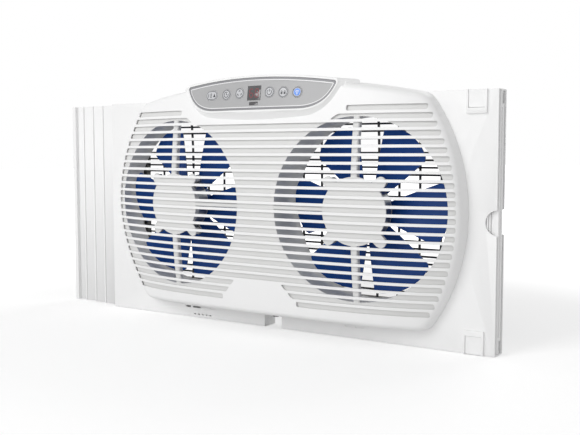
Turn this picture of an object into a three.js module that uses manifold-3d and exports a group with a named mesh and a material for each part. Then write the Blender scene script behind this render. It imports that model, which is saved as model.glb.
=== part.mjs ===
// Twin window fan: a flat window frame with sliding side leaves, a domed slatted front cover with a
// control console, and two motor-driven fans behind an orifice panel. Millimetres, +Z up, +X to the
// viewer's right, front towards -Y. The origin is at the bottom edge of the frame's front face.
import * as THREE from "three";
import { mergeVertices } from "three/addons/utils/BufferGeometryUtils.js";
import Module from "manifold-3d";

const wasm = await Module();
wasm.setup();

// ---------------------------------------------------------------- driving dimensions
const seatGap = 0.3; // between two pieces that rest on each other
const slideGap = 0.4; // between two pieces that slide on each other

// window frame
const frameWidth = 610;
const frameHeight = 310;
const frameDepth = 25.3;
const frameWall = 2.5;
const frameEdgeWall = 1.5;
const frameSplit = 12.65; // depth at which the front and rear halves meet

// cover outline, seen from the front: two side arcs, a flat bottom and a crowned top
const coverTipMargin = 34; // from the frame's end to the side arc's outermost point
const coverCornerMargin = 82; // from the frame's end to the corners
const coverBottomMargin = 22;
const coverTopMargin = 2;
const outlineCrown = 23.9; // rise of the top edge between its corners
const outlineTipX = frameWidth / 2 - coverTipMargin;
const outlineCornerX = frameWidth / 2 - coverCornerMargin;
const outlineBottom = coverBottomMargin;
const outlineTopCorner = frameHeight - coverTopMargin;
const outlineHalfHeight = (outlineTopCorner - outlineBottom) / 2;
const outlineArcCentreZ = outlineBottom + outlineHalfHeight;
const outlineArcRise = outlineTipX - outlineCornerX;
const outlineArcRadius = (outlineHalfHeight ** 2 + outlineArcRise ** 2) / (2 * outlineArcRise);
const outlineArcCentreX = outlineTipX - outlineArcRadius;
const coverDraft = 0.09; // how far a wall leans in for each millimetre forwards
const coverWall = 2;
const coverEdgeRounding = 6;

// domed front surface, as a depth over X and Z
const domeDepth = 54.4;
const domeHalfWidth = frameWidth / 2;
const domeSquare = 10.54;
const domeFourth = 37.05;
const domeCentreAbove = 7; // above the outline's centre
const domeCentreZ = outlineArcCentreZ + domeCentreAbove;
const domeRiseReach = 0.7 * outlineHalfHeight;
const domeRise = 5.8; // depth gained at that reach above or below the centre
const domeCornerRise = 15.8;

// slats of the cover
const fullSlots = 20;
const slotTopMargin = 34.4; // from the outline's top corner to the highest full slot
const slotBottomMargin = 50.4; // from the outline's bottom to the lowest full slot
const slotShare = 0.594; // of the pitch; the slat takes the rest
const slotTop = outlineTopCorner - slotTopMargin;
const slotSpan = slotTop - outlineBottom - slotBottomMargin;
const slatPitch = slotSpan / (fullSlots - 1 + slotShare);
const slotHeight = slatPitch * slotShare;
const shortSlotsAbove = 2;
const shortSlotsBelow = 3;
const slatDepth = 2;
const slatRecess = 0.15; // how far the slats lie behind the rim's face
const slotRim = 5.6; // width of the rim between the slots and the side
const slotArcTipX = outlineTipX - slotRim;
const slotArcRadius = outlineArcRadius - 1.45 * slotRim;
const slotArcCentreX = slotArcTipX - slotArcRadius;
const upperBlankHalfWidth = 106; // between the short slots above
const upperBlankSlope = 25;
const lowerBlankHalfWidth = 39; // between the short slots below
const lowerBlankSlope = 20.5;

// orifice panel behind the cover
const baffleGap = 1.2; // behind the cover's wall
const baffleWall = 1.8;
const fanSpacing = 0.4669 * frameWidth;
const fanCentreAbove = 2.7; // above the outline's centre
const fanCentreZ = outlineArcCentreZ + fanCentreAbove;
const orificeRadius = 0.3978 * fanSpacing;
const orificeWall = 1.6;
const orificeRearY = 8;
const hubDiscRadius = 42;
const hubDiscLower = 1.7; // the disc and motor sit this far below the ring's centre
const hubCupRadius = 37;
const lobeRadius = 7;
const lobeWeb = 11; // width of the web between a lobe and the disc
const lobeSpreadX = 34.5;
const lobeSpreadZ = 35.7;
const lobeBossRadius = 4.6;
const spokeWidth = 9;
const spokeDepth = 8;
const spokeOffset = 3.2; // behind the domed surface
const armHeight = 6.1;
const armDepth = 16;
const armOffset = 3.4;
const armRaise = 1.6; // above the motor's centre

// motor
const motorFrontY = -36;
const motorLength = 18.5;
const motorWall = 1.2;
const motorEarThickness = 2.5;
const motorEarRadius = 5.4;
const statorRadialDepth = 19;
const armatureLength = 10.6;
const airGap = 0.6;
const shaftRadius = 4;
const shaftLength = 47;
const bearingRadius = 8;
const bearingLength = 3;
const bearingBossWall = 1.7;
const endPlateThickness = 1.5;

// screws
const motorScrewRadius = 1.6;
const motorScrewHeadRadius = 3.4;
const motorScrewHeadHeight = 2;
const motorScrewReach = 5.4;
const frameScrewRadius = 1.5;
const frameScrewHeadRadius = 3.2;
const frameScrewHeadHeight = 2.2;
const frameScrewLength = 13;
const frameBossRadius = 4.2;
const frameRearBossWall = 1.6;
const frameScrewEndMargin = 60;
const frameScrewEdgeMargin = 11.5;
const frameScrewX = frameWidth / 2 - frameScrewEndMargin;
const frameScrewInnerX = 0.45 * frameScrewX;
const frameScrewLowZ = frameScrewEdgeMargin;
const frameScrewHighZ = frameHeight - frameScrewEdgeMargin;

// fan rotor
const bladeCount = 6;
const bladeTipGap = 5.3; // between the blades and the orifice
const bladeTipRadius = orificeRadius - bladeTipGap;
const bladeThickness = 1.8;
const bladeRootHalfAngle = 23; // degrees
const bladeTipHalfAngle = 21.5;
const bladeRootPitch = 6.5; // half of the blade's axial sweep
const bladeTipPitch = 8.5;
const bladeAhead = 1; // of the hub's middle, towards the front
const rotorHubRadius = 29;
const rotorHubLength = 18;
const rotorHubWall = 2;
const rotorCollarRadius = 8;
const nutRadius = 8;
const nutHeight = 4.5;

// rear grille
const grilleEndMargin = 45;
const grilleMarginZ = 21.5; // inside the cover's outline
const grilleHalfWidth = frameWidth / 2 - grilleEndMargin;
const grilleHalfHeight = outlineHalfHeight - grilleMarginZ;
const grilleBorder = 3.6;
const grilleFrontY = 20.2;
const grilleFlange = 2.3;
const grilleCollarWall = 2.4;
const grilleRearY = 29.6;
const grilleDepth = 2.2;
const grilleDome = 4.6; // how far the middle bars lie behind the outer ones
const grilleBars = 24;
const grilleBarPitch = (2 * grilleHalfHeight) / (grilleBars + 2.4);
const grilleBarHeight = 1.7;
const grilleRibX = [53.5, 167.5];
const grilleRibWidth = 2.4;

// control console
const consoleSurfaceY = -55; // at its lower edge, on the centre line
const consoleTilt = 0.14; // depth gained for each millimetre up
const consoleBow = 6.6e-4; // depth gained with the square of X
const consoleDrop = 16; // of its lower edge below the cover's top corners
const consoleHeight = 40.7;
const consoleBottom = outlineTopCorner - consoleDrop;
const consoleBottomHalfWidth = 66.5;
const consoleTipHalfWidth = 116;
const consoleTipZ = consoleBottom + 0.7 * consoleHeight;
const consoleTipRise = 0.113 * consoleHeight;
const consoleApex = consoleBottom + consoleHeight;
const consoleThickness = 2;
const consoleRim = 3; // width of the white rim round the insert
const consoleRimProud = 0.8;
const lobeSkirtSide = 20; // how far the lobe's flanks spread on the way to the cover
const lobeSkirtBottom = 16;
const lobeSkirtDepth = 15;
const lobeTopProud = 3.4;
const lobeBackY = -22;
const consoleLedge = 4;
const consoleLedgeThickness = 2;

// controls on the console: centre X, and height above or below the controls' row
const controlRowZ = consoleBottom + 0.5 * consoleHeight;
const controlRadius = 6.9;
const controlProud = 0.5;
const controlDepth = 2.6;
const controlStemRadius = 2.2;
const controlTravel = 1;
const roundControls = [
  { name: "timer_button", x: -45.4, z: controlRowZ },
  { name: "speed_button", x: -23.1, z: controlRowZ + 1 },
  { name: "power_button", x: 23.7, z: controlRowZ + 0.9 },
  { name: "lock_button", x: 44.2, z: controlRowZ + 0.2 },
  { name: "link_button", x: 64.2, z: controlRowZ - 0.4 },
];
const modeButton = { name: "mode_button", x: -71, z: controlRowZ, width: 20, height: 12.5 };
const displayWidth = 20.4;
const displayHeight = 18;
const displayCentreZ = controlRowZ + 0.6;
const windowThickness = 1.4;
const irWidth = 13;
const irHeight = 3.8;
const irGap = 2.5; // below the display
const irCentreZ = displayCentreZ - displayHeight / 2 - irGap - irHeight / 2;
const boardDepth = 8.2; // behind the console's surface on the centre line
const boardThickness = 1.6;
const boardHalfWidth = 78;
const boardHeight = 21.5;
const boardBottom = controlRowZ - boardHeight / 2 - 2.1;
const boardPostRadius = 2.2;
const boardPostX = 56;
const boardPostInset = 3;

// sliding leaves, outermost first
const leafThickness = 1.6;
const leafPitch = 2;
const leafPocket = 47; // depth of the pocket that takes the leaves, from the frame's end
const leafNest = [0, 7, 9.3, 11.6]; // how far each outer edge lies inside the frame's end
const leafInnerX = frameWidth / 2 - leafPocket;
const leafOuterX = leafNest.map((nest) => frameWidth / 2 - nest);
const leafRatios = [1, 0.8446, 0.6174, 0.3935];
const leafRearY = 12.4;
const leafLipWidth = 6.7;
const leafLipFrontY = 5.4;
const leafHemThickness = 2;
const leafHemProud = 1.9;
const leafLeftPulledOut = 92;
const endCapThickness = 3;
const endCapMargin = 16.5;
const endCapBottom = endCapMargin;
const endCapTop = frameHeight - endCapMargin;
const endCapRearY = 18.5;
const endCapGrooveWidth = 4.5;
const endCapGrooveDepth = 1.5;
const guideRailHeight = 4.5;
const guideRailThickness = 1.6;

// slide locks and their raised U guides, at the right end
const lockEndMargin = 25.5;
const lockCentreX = frameWidth / 2 - lockEndMargin;
const lockGuideWidth = 25;
const lockGuideWall = 2.3;
const lockGuideProud = 3.2;
const lockGuideTopLength = 27.7;
const lockGuideBottomLength = 28.4;
const lockGuideEnd = 6.4;
const lockThickness = 1.9;
const lockTravelRoom = 0.4;
const lockRibHeight = 1.2;
const lockRibs = 3;

// finger notch at the right end
const notchRadius = 15;
const notchOverrun = 1; // of its centre beyond the frame's end
const notchCentreZ = frameHeight / 2 + notchOverrun;
const notchCentreX = frameWidth / 2 + notchOverrun;

// cord gap and its bushing at the bottom
const cordGapLeft = -21.5;
const cordGapRight = 6.6;
const cordGapHeight = 16;
const cordGapWall = 2;
const bushingRadius = 3.6;
const bushingFlangeRadius = 5;
const bushingFlange = 1.6;
const bushingBore = 2;
const bushingRise = 4;

// release slots of the cover, low on the frame
const releaseSlotX = [0.498 * outlineCornerX, 0.566 * outlineCornerX];
const releaseSlotWidth = 12.4;
const releaseSlotHeight = 2;
const releaseSlotZ = 15;
const releaseSlotDepth = 1.2;

// facets
const stationShares = [0, 0.45, 0.74, 0.92]; // of the corner's X, for the dome's columns
const stationX = stationShares.map((share) => share * outlineCornerX);
const slatEndStation = 1.067 * outlineCornerX;
const arcSteps = 4; // along each half of a side arc
const capSteps = 5; // up the domed face
const orificeSteps = 40;
const roundSteps = 20;
const smallRoundSteps = 8;

// ---------------------------------------------------------------- materials
function plastic(color, roughness) {
  return new THREE.MeshStandardMaterial({ color, roughness, metalness: 0 });
}

function metal(color, roughness) {
  return new THREE.MeshStandardMaterial({ color, roughness, metalness: 0.9 });
}

const white = plastic("#f1f1f0", 0.42);
const paleGrey = plastic("#dcdcda", 0.5);
const darkGrille = plastic("#3c3d40", 0.55);
const bladeBlue = plastic("#1f3f7a", 0.35);
const consoleGrey = plastic("#bfc0c2", 0.4);
const buttonGrey = plastic("#c9cacb", 0.38);
const linkBlue = plastic("#4f8fe6", 0.35);
const smoke = plastic("#33353a", 0.15);
const boardGreen = plastic("#2f6b3c", 0.6);
const bushingBlack = plastic("#1c1c1e", 0.6);
const zincSteel = metal("#8d9094", 0.4);
const laminatedSteel = metal("#6f7276", 0.55);
const shaftSteel = metal("#b4b7bb", 0.25);

// ---------------------------------------------------------------- solids
// A closed geometry as a solid that can be joined and cut.
function solid(geometry) {
  const bare = geometry.clone();
  for (const name of Object.keys(bare.attributes)) {
    if (name !== "position") bare.deleteAttribute(name);
  }
  const merged = mergeVertices(bare, 1e-4);
  const triangles = [];
  const index = merged.index.array;
  for (let i = 0; i < index.length; i += 3) {
    const [a, b, c] = [index[i], index[i + 1], index[i + 2]];
    if (a !== b && b !== c && c !== a) triangles.push(a, b, c);
  }
  return new wasm.Manifold(
    new wasm.Mesh({
      numProp: 3,
      vertProperties: Float32Array.from(merged.attributes.position.array),
      triVerts: Uint32Array.from(triangles),
    }),
  );
}

function join(first, ...others) {
  return others.reduce((sum, other) => sum.add(other), first);
}

function cut(first, ...others) {
  return others.reduce((rest, other) => rest.subtract(other), first);
}

// A solid's surface as a geometry with flat faces.
function surface(body) {
  const mesh = body.getMesh();
  const stride = mesh.numProp;
  const positions = new Float32Array(mesh.numVert * 3);
  for (let i = 0; i < mesh.numVert; i++) {
    positions.set(mesh.vertProperties.subarray(i * stride, i * stride + 3), i * 3);
  }
  const geometry = new THREE.BufferGeometry();
  geometry.setAttribute("position", new THREE.BufferAttribute(positions, 3));
  geometry.setIndex(Array.from(mesh.triVerts));
  const flat = geometry.toNonIndexed();
  flat.computeVertexNormals();
  return flat;
}

function box(x0, x1, y0, y1, z0, z1) {
  const geometry = new THREE.BoxGeometry(x1 - x0, y1 - y0, z1 - z0);
  geometry.translate((x0 + x1) / 2, (y0 + y1) / 2, (z0 + z1) / 2);
  return solid(geometry);
}

// An outline in X and Z, run through the depth from y0 to y1.
function prism(shape, y0, y1, steps = 8) {
  const geometry = new THREE.ExtrudeGeometry(shape, {
    depth: y1 - y0,
    bevelEnabled: false,
    curveSegments: steps,
  });
  geometry.rotateX(Math.PI / 2);
  geometry.translate(0, y1, 0);
  return solid(geometry);
}

// An outline in X and Y, run up from z0 to z1.
function column(points, z0, z1) {
  const shape = new THREE.Shape(points.map(([x, y]) => new THREE.Vector2(x, y)));
  const geometry = new THREE.ExtrudeGeometry(shape, { depth: z1 - z0, bevelEnabled: false });
  geometry.translate(0, 0, z0);
  return solid(geometry);
}

// An outline of [y, z] points, run across from x0 to x1.
function sideways(profile, x0, x1) {
  const geometry = new THREE.ExtrudeGeometry(polygon(profile), { depth: x1 - x0, bevelEnabled: false });
  const across = new THREE.Matrix4().makeBasis(
    new THREE.Vector3(0, 1, 0),
    new THREE.Vector3(0, 0, 1),
    new THREE.Vector3(1, 0, 0),
  );
  geometry.applyMatrix4(across);
  geometry.translate(x0, 0, 0);
  return solid(geometry);
}

// A profile of [radius, y] points turned round an axis along Y.
function turned(profile, x, z, steps = roundSteps) {
  const points = profile.map(([radius, y]) => new THREE.Vector2(radius, y));
  const geometry = new THREE.LatheGeometry(points, steps);
  geometry.translate(x, 0, z);
  return solid(geometry);
}

function rod(radius, y0, y1, x, z, steps = roundSteps) {
  return turned([[0, y0], [radius, y0], [radius, y1], [0, y1]], x, z, steps);
}

function tube(inner, outer, y0, y1, x, z, steps = roundSteps) {
  const profile = [[inner, y0], [outer, y0], [outer, y1], [inner, y1], [inner, y0]];
  return turned(profile, x, z, steps);
}

function polygon(points) {
  return new THREE.Shape(points.map(([x, z]) => new THREE.Vector2(x, z)));
}

// ---------------------------------------------------------------- domed housing shapes
function domeY(x, z) {
  const across = (x / domeHalfWidth) ** 2;
  const up = ((z - domeCentreZ) / domeRiseReach) ** 2;
  return (
    -domeDepth +
    domeSquare * across +
    domeFourth * across * across +
    up * (domeRise + domeCornerRise * across * across)
  );
}

// The cover's outline drawn in by an inset: columns from the left tip to the right one, each with
// the lower and the upper edge at its X.
function outlineColumns(inset) {
  const radius = outlineArcRadius - inset;
  const bottom = outlineBottom + inset;
  const drop = outlineArcCentreZ - bottom;
  const corner = Math.asin(drop / radius);
  const cornerX = outlineArcCentreX + radius * Math.cos(corner);
  const topCorner = outlineTopCorner - inset;
  const topAngle = Math.asin((topCorner - outlineArcCentreZ) / radius);
  const right = [];
  for (const x of [...stationX, cornerX]) {
    const rise = outlineCrown * (1 - (x / cornerX) ** 2);
    right.push({ x, low: bottom, high: topCorner + rise });
  }
  for (let i = arcSteps - 1; i >= 0; i--) {
    const x = outlineArcCentreX + radius * Math.cos((corner * i) / arcSteps);
    const low = outlineArcCentreZ - radius * Math.sin((corner * i) / arcSteps);
    const high = outlineArcCentreZ + radius * Math.sin((topAngle * i) / arcSteps);
    right.push({ x, low, high });
  }
  const left = right.slice(1).map((column) => ({ ...column, x: -column.x }));
  return [...left.reverse(), ...right];
}

// The same outline as a ring of points, lower edge first.
function outlineRing(inset) {
  const columns = outlineColumns(inset);
  const lower = columns.map(({ x, low }) => [x, low]);
  const upper = columns.slice(1, -1).map(({ x, high }) => [x, high]);
  return [...lower, ...upper.reverse()];
}

// A block with the cover's outline and its domed front: the walls lean in towards the front, and
// a rounded edge leads from the walls to the dome.
function domedBlock(inset, offset, rounding, backY, roundingSteps) {
  const positions = [];
  const faces = [];
  const rings = [outlineRing(inset).map(([x, z]) => [x, backY, z])];
  const leanAt = (y) => inset + coverDraft * (backY - y);
  const frontRing = (angle) => {
    const reach = rounding * (1 - Math.cos(angle));
    const behind = offset + rounding * (1 - Math.sin(angle));
    const rough = outlineRing(inset);
    const insets = rough.map(([x, z]) => leanAt(domeY(x, z) + behind) + reach);
    return insets.map((own, i) => {
      const [x, z] = outlineRing(own)[i];
      return [x, domeY(x, z) + behind, z];
    });
  };
  for (let i = 0; i <= roundingSteps; i++) {
    rings.push(frontRing(((Math.PI / 2) * i) / roundingSteps));
  }
  const count = rings[0].length;
  rings.forEach((ring) => ring.forEach((point) => positions.push(...point)));
  for (let r = 0; r + 1 < rings.length; r++) {
    for (let i = 0; i < count; i++) {
      const j = (i + 1) % count;
      const [a, b] = [r * count + i, r * count + j];
      const [c, d] = [(r + 1) * count + i, (r + 1) * count + j];
      faces.push(a, b, d, a, d, c);
    }
  }
  const columnCount = outlineColumns(inset).length;
  closeEnd(positions, faces, rings[rings.length - 1], (rings.length - 1) * count, columnCount, true, offset);
  closeEnd(positions, faces, rings[0], 0, columnCount, false, offset);
  const geometry = new THREE.BufferGeometry();
  geometry.setAttribute("position", new THREE.Float32BufferAttribute(positions, 3));
  geometry.setIndex(faces);
  return solid(geometry);
}

// Closes a ring of the domed block: column by column, with the steps up the dome on its front.
function closeEnd(positions, faces, ring, start, columnCount, domed, offset) {
  const steps = domed ? capSteps : 1;
  const columns = [];
  for (let i = 0; i < columnCount; i++) {
    const low = start + i;
    const isTip = i === 0 || i === columnCount - 1;
    const high = isTip ? low : start + ring.length - i;
    const column = [low];
    if (!isTip) {
      const [x, , z0] = ring[i];
      const [, , z1] = ring[ring.length - i];
      for (let j = 1; j < steps; j++) {
        const z = z0 + ((z1 - z0) * j) / steps;
        column.push(positions.length / 3);
        positions.push(x, domeY(x, z) + offset, z);
      }
      column.push(high);
    }
    columns.push(column);
  }
  for (let i = 0; i + 1 < columnCount; i++) {
    for (let j = 0; j < steps; j++) {
      const pick = (column, k) => column[Math.min(k, column.length - 1)];
      const [a, b] = [pick(columns[i], j), pick(columns[i + 1], j)];
      const [c, d] = [pick(columns[i], j + 1), pick(columns[i + 1], j + 1)];
      const corners = domed ? [[a, b, d], [a, d, c]] : [[a, d, b], [a, c, d]];
      for (const [p, q, r] of corners) {
        if (p !== q && q !== r && r !== p) faces.push(p, q, r);
      }
    }
  }
}

// A bar that follows the dome from x0 to x1 between two heights.
function domeBar(x0, x1, z0, z1, offset, depth) {
  const right = [...stationX, slatEndStation];
  const all = [...right.slice(1).map((x) => -x).reverse(), ...right];
  const between = all.filter((x) => x > x0 + 2 && x < x1 - 2);
  const stations = [x0, ...between, x1];
  const mid = (z0 + z1) / 2;
  const front = stations.map((x) => [x, domeY(x, mid) + offset]);
  const back = stations.map((x) => [x, domeY(x, mid) + offset + depth]).reverse();
  return column([...front, ...back], z0, z1);
}

// Half the width between the side arcs that bound the slots, at a height.
function slotHalfWidth(z) {
  return slotArcCentreX + Math.sqrt(slotArcRadius ** 2 - (z - outlineArcCentreZ) ** 2);
}

// ---------------------------------------------------------------- console shapes
function consoleY(x, z) {
  return consoleSurfaceY + consoleTilt * (z - consoleBottom) + consoleBow * x * x;
}

// The insert's outline, let out by its own amount at the sides, the top and the bottom.
function consoleOutline(grow, growTop = grow, growBottom = grow) {
  const tip = consoleTipHalfWidth + grow;
  const bottom = consoleBottom - growBottom;
  const half = consoleBottomHalfWidth + grow * 0.5;
  const topEnd = consoleTipZ + consoleTipRise + growTop;
  const crown = 2 * (consoleApex + growTop) - topEnd;
  const bend = 0.3 * (tip - half);
  const fall = 0.34 * consoleHeight;
  const corner = 0.043 * consoleTipHalfWidth;
  const shape = new THREE.Shape();
  shape.moveTo(-half, bottom);
  shape.lineTo(half, bottom);
  shape.bezierCurveTo(tip - 1.3 * bend, bottom, tip - 0.5 * bend, consoleTipZ - fall, tip - 1, consoleTipZ);
  shape.quadraticCurveTo(tip + 1, topEnd - 0.6, tip - corner, topEnd);
  shape.quadraticCurveTo(0, crown, -tip + corner, topEnd);
  shape.quadraticCurveTo(-tip - 1, topEnd - 0.6, -tip + 1, consoleTipZ);
  shape.bezierCurveTo(-tip + 0.5 * bend, consoleTipZ - fall, -tip + 1.3 * bend, bottom, -half, bottom);
  return shape;
}

// A slab that follows the console's bowed, tilted surface between two depths.
function consoleSlab(depth0, depth1, halfWidth, z0, z1) {
  const steps = 8;
  const stations = [];
  for (let i = 0; i <= steps; i++) stations.push(-halfWidth + (2 * halfWidth * i) / steps);
  const front = stations.map((x) => [x, consoleBow * x * x + depth0]);
  const back = stations.map((x) => [x, consoleBow * x * x + depth1]).reverse();
  return leaned([...front, ...back], z0, z1);
}

// A column whose depth follows the console's tilt.
function leaned(points, z0, z1) {
  const shape = polygon(points);
  const geometry = new THREE.ExtrudeGeometry(shape, { depth: z1 - z0, bevelEnabled: false });
  geometry.translate(0, 0, z0);
  const lean = new THREE.Matrix4();
  lean.elements[9] = consoleTilt;
  geometry.applyMatrix4(lean);
  geometry.translate(0, consoleSurfaceY - consoleTilt * consoleBottom, 0);
  return solid(geometry);
}

// A flat block parallel to the console's tilt, by depth behind its centre line.
function leanedBox(x0, x1, depth0, depth1, z0, z1) {
  return leaned([[x0, depth0], [x1, depth0], [x1, depth1], [x0, depth1]], z0, z1);
}

// The inward direction at a point of the console.
function consoleInward(x) {
  return new THREE.Vector3(-2 * consoleBow * x, 1, -consoleTilt).normalize();
}

// A geometry built along +Y at the origin, set square on the console's surface.
function onConsole(geometry, x, z) {
  const turn = new THREE.Quaternion().setFromUnitVectors(new THREE.Vector3(0, 1, 0), consoleInward(x));
  const place = new THREE.Matrix4().makeRotationFromQuaternion(turn);
  place.setPosition(x, consoleY(x, z), z);
  return solid(geometry.clone().applyMatrix4(place));
}

function discGeometry(radius, y0, y1, steps) {
  const points = [[0, y0], [radius, y0], [radius, y1], [0, y1]].map(([r, y]) => new THREE.Vector2(r, y));
  return new THREE.LatheGeometry(points, steps);
}

function pillGeometry(width, height, y0, y1) {
  const radius = height / 2;
  const half = width / 2 - radius;
  const shape = new THREE.Shape();
  shape.absarc(half, 0, radius, -Math.PI / 2, Math.PI / 2, false);
  shape.absarc(-half, 0, radius, Math.PI / 2, (3 * Math.PI) / 2, false);
  const geometry = new THREE.ExtrudeGeometry(shape, {
    depth: y1 - y0,
    bevelEnabled: false,
    curveSegments: 6,
  });
  geometry.rotateX(Math.PI / 2);
  geometry.translate(0, y1, 0);
  return geometry;
}

// ---------------------------------------------------------------- pieces
const fanSides = [
  { side: "left", x: -fanSpacing / 2, inward: 1 },
  { side: "right", x: fanSpacing / 2, inward: -1 },
];
const motorZ = fanCentreZ - hubDiscLower;
const baffleInset = coverWall + seatGap;
const baffleOffset = coverWall + baffleGap;
const collarInset = baffleInset + baffleWall + seatGap;
const collarWall = 2;
const collarHeight = 5;
const openingInset = collarInset + collarWall;
const openingTopMargin = 7;
const openingTop = frameHeight - openingTopMargin;
const root = new THREE.Group();

function addMesh(parent, name, body, material) {
  const mesh = new THREE.Mesh(surface(body), material);
  mesh.name = name;
  parent.add(mesh);
  return mesh;
}

function lobePlaces(x) {
  const places = [];
  for (const across of [-1, 1]) {
    for (const up of [-1, 1]) places.push([x + across * lobeSpreadX, motorZ + up * lobeSpreadZ]);
  }
  return places;
}

// Front cover: a domed shell with slats across its field and the console's lobe on top.
function frontCover() {
  const outer = domedBlock(0, 0, coverEdgeRounding, -seatGap, 3);
  const innerRounding = coverEdgeRounding - coverWall;
  const inner = domedBlock(coverWall, coverWall, innerRounding, -seatGap, 1);
  const backCut = box(-frameWidth, frameWidth, -seatGap - 0.5, 10, -10, frameHeight + 60);
  const shellCut = join(inner, inner.translate([0, 0.6, 0]));
  const shell = cut(outer, shellCut).subtract(cut(backCut, outer));
  const lobe = consoleLobe();
  const field = slotField();
  let cover = join(cut(shell, field), cut(lobe, inner));
  for (const slat of slats()) cover = cover.add(slat);
  const pocketDepth = consoleThickness + seatGap;
  const pocketHalf = consoleTipHalfWidth + 8;
  const pocket = consoleSlab(-30, pocketDepth, pocketHalf, consoleBottom - 40, consoleApex + 40);
  const cavityY = lobeBackY - 4;
  const seat = prism(consoleOutline(seatGap), -80, cavityY, 5).intersect(pocket);
  const cavity = prism(consoleOutline(-consoleLedge), -80, cavityY, 5);
  return cut(cover, seat, cavity);
}

// The field that the slots share: inside the side arcs, with blank places above and below.
function slotField() {
  const top = slotTop + shortSlotsAbove * slatPitch;
  const bottom = slotTop - (fullSlots - 1 + shortSlotsBelow) * slatPitch - slotHeight;
  const fullBottom = slotTop - (fullSlots - 1) * slatPitch - slotHeight;
  const upperOuter = upperBlankHalfWidth + upperBlankSlope;
  const lowerOuter = lowerBlankHalfWidth + lowerBlankSlope;
  const right = [];
  const steps = 8;
  for (let i = 0; i <= steps; i++) {
    const z = bottom + ((top - bottom) * i) / steps;
    right.push([slotHalfWidth(z), z]);
  }
  const left = right.map(([x, z]) => [-x, z]).reverse();
  const outline = [
    [-lowerOuter, bottom],
    [-lowerBlankHalfWidth, fullBottom],
    [lowerBlankHalfWidth, fullBottom],
    [lowerOuter, bottom],
    ...right,
    [upperOuter, top],
    [upperBlankHalfWidth, slotTop],
    [-upperBlankHalfWidth, slotTop],
    [-upperOuter, top],
    ...left,
  ];
  return prism(polygon(outline), -domeDepth - 20, -seatGap);
}

// One slat between each two slots, let into the rim at its ends.
function slats() {
  const bars = [];
  const slatHeight = slatPitch - slotHeight;
  const embed = 2.5;
  const first = -shortSlotsAbove;
  const last = fullSlots - 1 + shortSlotsBelow;
  for (let row = first; row < last; row++) {
    const high = slotTop - row * slatPitch - slotHeight;
    const low = high - slatHeight;
    const half = slotHalfWidth((high + low) / 2) + embed;
    const blankAbove = row < 0;
    const blankBelow = row >= fullSlots - 1;
    if (!blankAbove && !blankBelow) {
      bars.push(domeBar(-half, half, low, high, slatRecess, slatDepth));
      continue;
    }
    const from = blankAbove ? upperBlankHalfWidth - embed : lowerBlankHalfWidth - embed;
    bars.push(domeBar(from, half, low, high, slatRecess, slatDepth));
    bars.push(domeBar(-half, -from, low, high, slatRecess, slatDepth));
  }
  return bars;
}

// The raised lobe round the console insert.
function consoleLobe() {
  const proud = -consoleRimProud;
  const side = consoleRim + lobeSkirtSide;
  const bottom = consoleRim + lobeSkirtBottom;
  const rings = [
    { grow: consoleRim - 1, top: lobeTopProud - 1, bottom: consoleRim - 1, depth: proud },
    { grow: consoleRim, top: lobeTopProud, bottom: consoleRim, depth: proud + 1.2 },
    { grow: side, top: lobeTopProud - 2, bottom, depth: proud + lobeSkirtDepth },
  ];
  const levels = rings.map(({ grow, top, bottom: low, depth }) =>
    consoleOutline(grow, top, low)
      .getPoints(5)
      .slice(0, -1)
      .map(({ x, y: z }) => [x, consoleY(x, z) + depth, z]),
  );
  const back = levels[levels.length - 1].map(([x, , z]) => [x, lobeBackY, z]);
  levels.push(back);
  const positions = [];
  const faces = [];
  const count = back.length;
  levels.forEach((level) => level.forEach((point) => positions.push(...point)));
  for (let r = 0; r + 1 < levels.length; r++) {
    for (let i = 0; i < count; i++) {
      const j = (i + 1) % count;
      const [a, b] = [r * count + i, r * count + j];
      faces.push(a, b + count, b, a, a + count, b + count);
    }
  }
  const flat = levels[0].map(([x, , z]) => new THREE.Vector2(x, z));
  for (const [a, b, c] of THREE.ShapeUtils.triangulateShape(flat, [])) faces.push(a, b, c);
  const rear = (levels.length - 1) * count;
  const flatBack = back.map(([x, , z]) => new THREE.Vector2(x, z));
  for (const [a, b, c] of THREE.ShapeUtils.triangulateShape(flatBack, [])) {
    faces.push(rear + a, rear + c, rear + b);
  }
  const geometry = new THREE.BufferGeometry();
  geometry.setAttribute("position", new THREE.Float32BufferAttribute(positions, 3));
  geometry.setIndex(faces);
  return solid(geometry);
}

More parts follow.
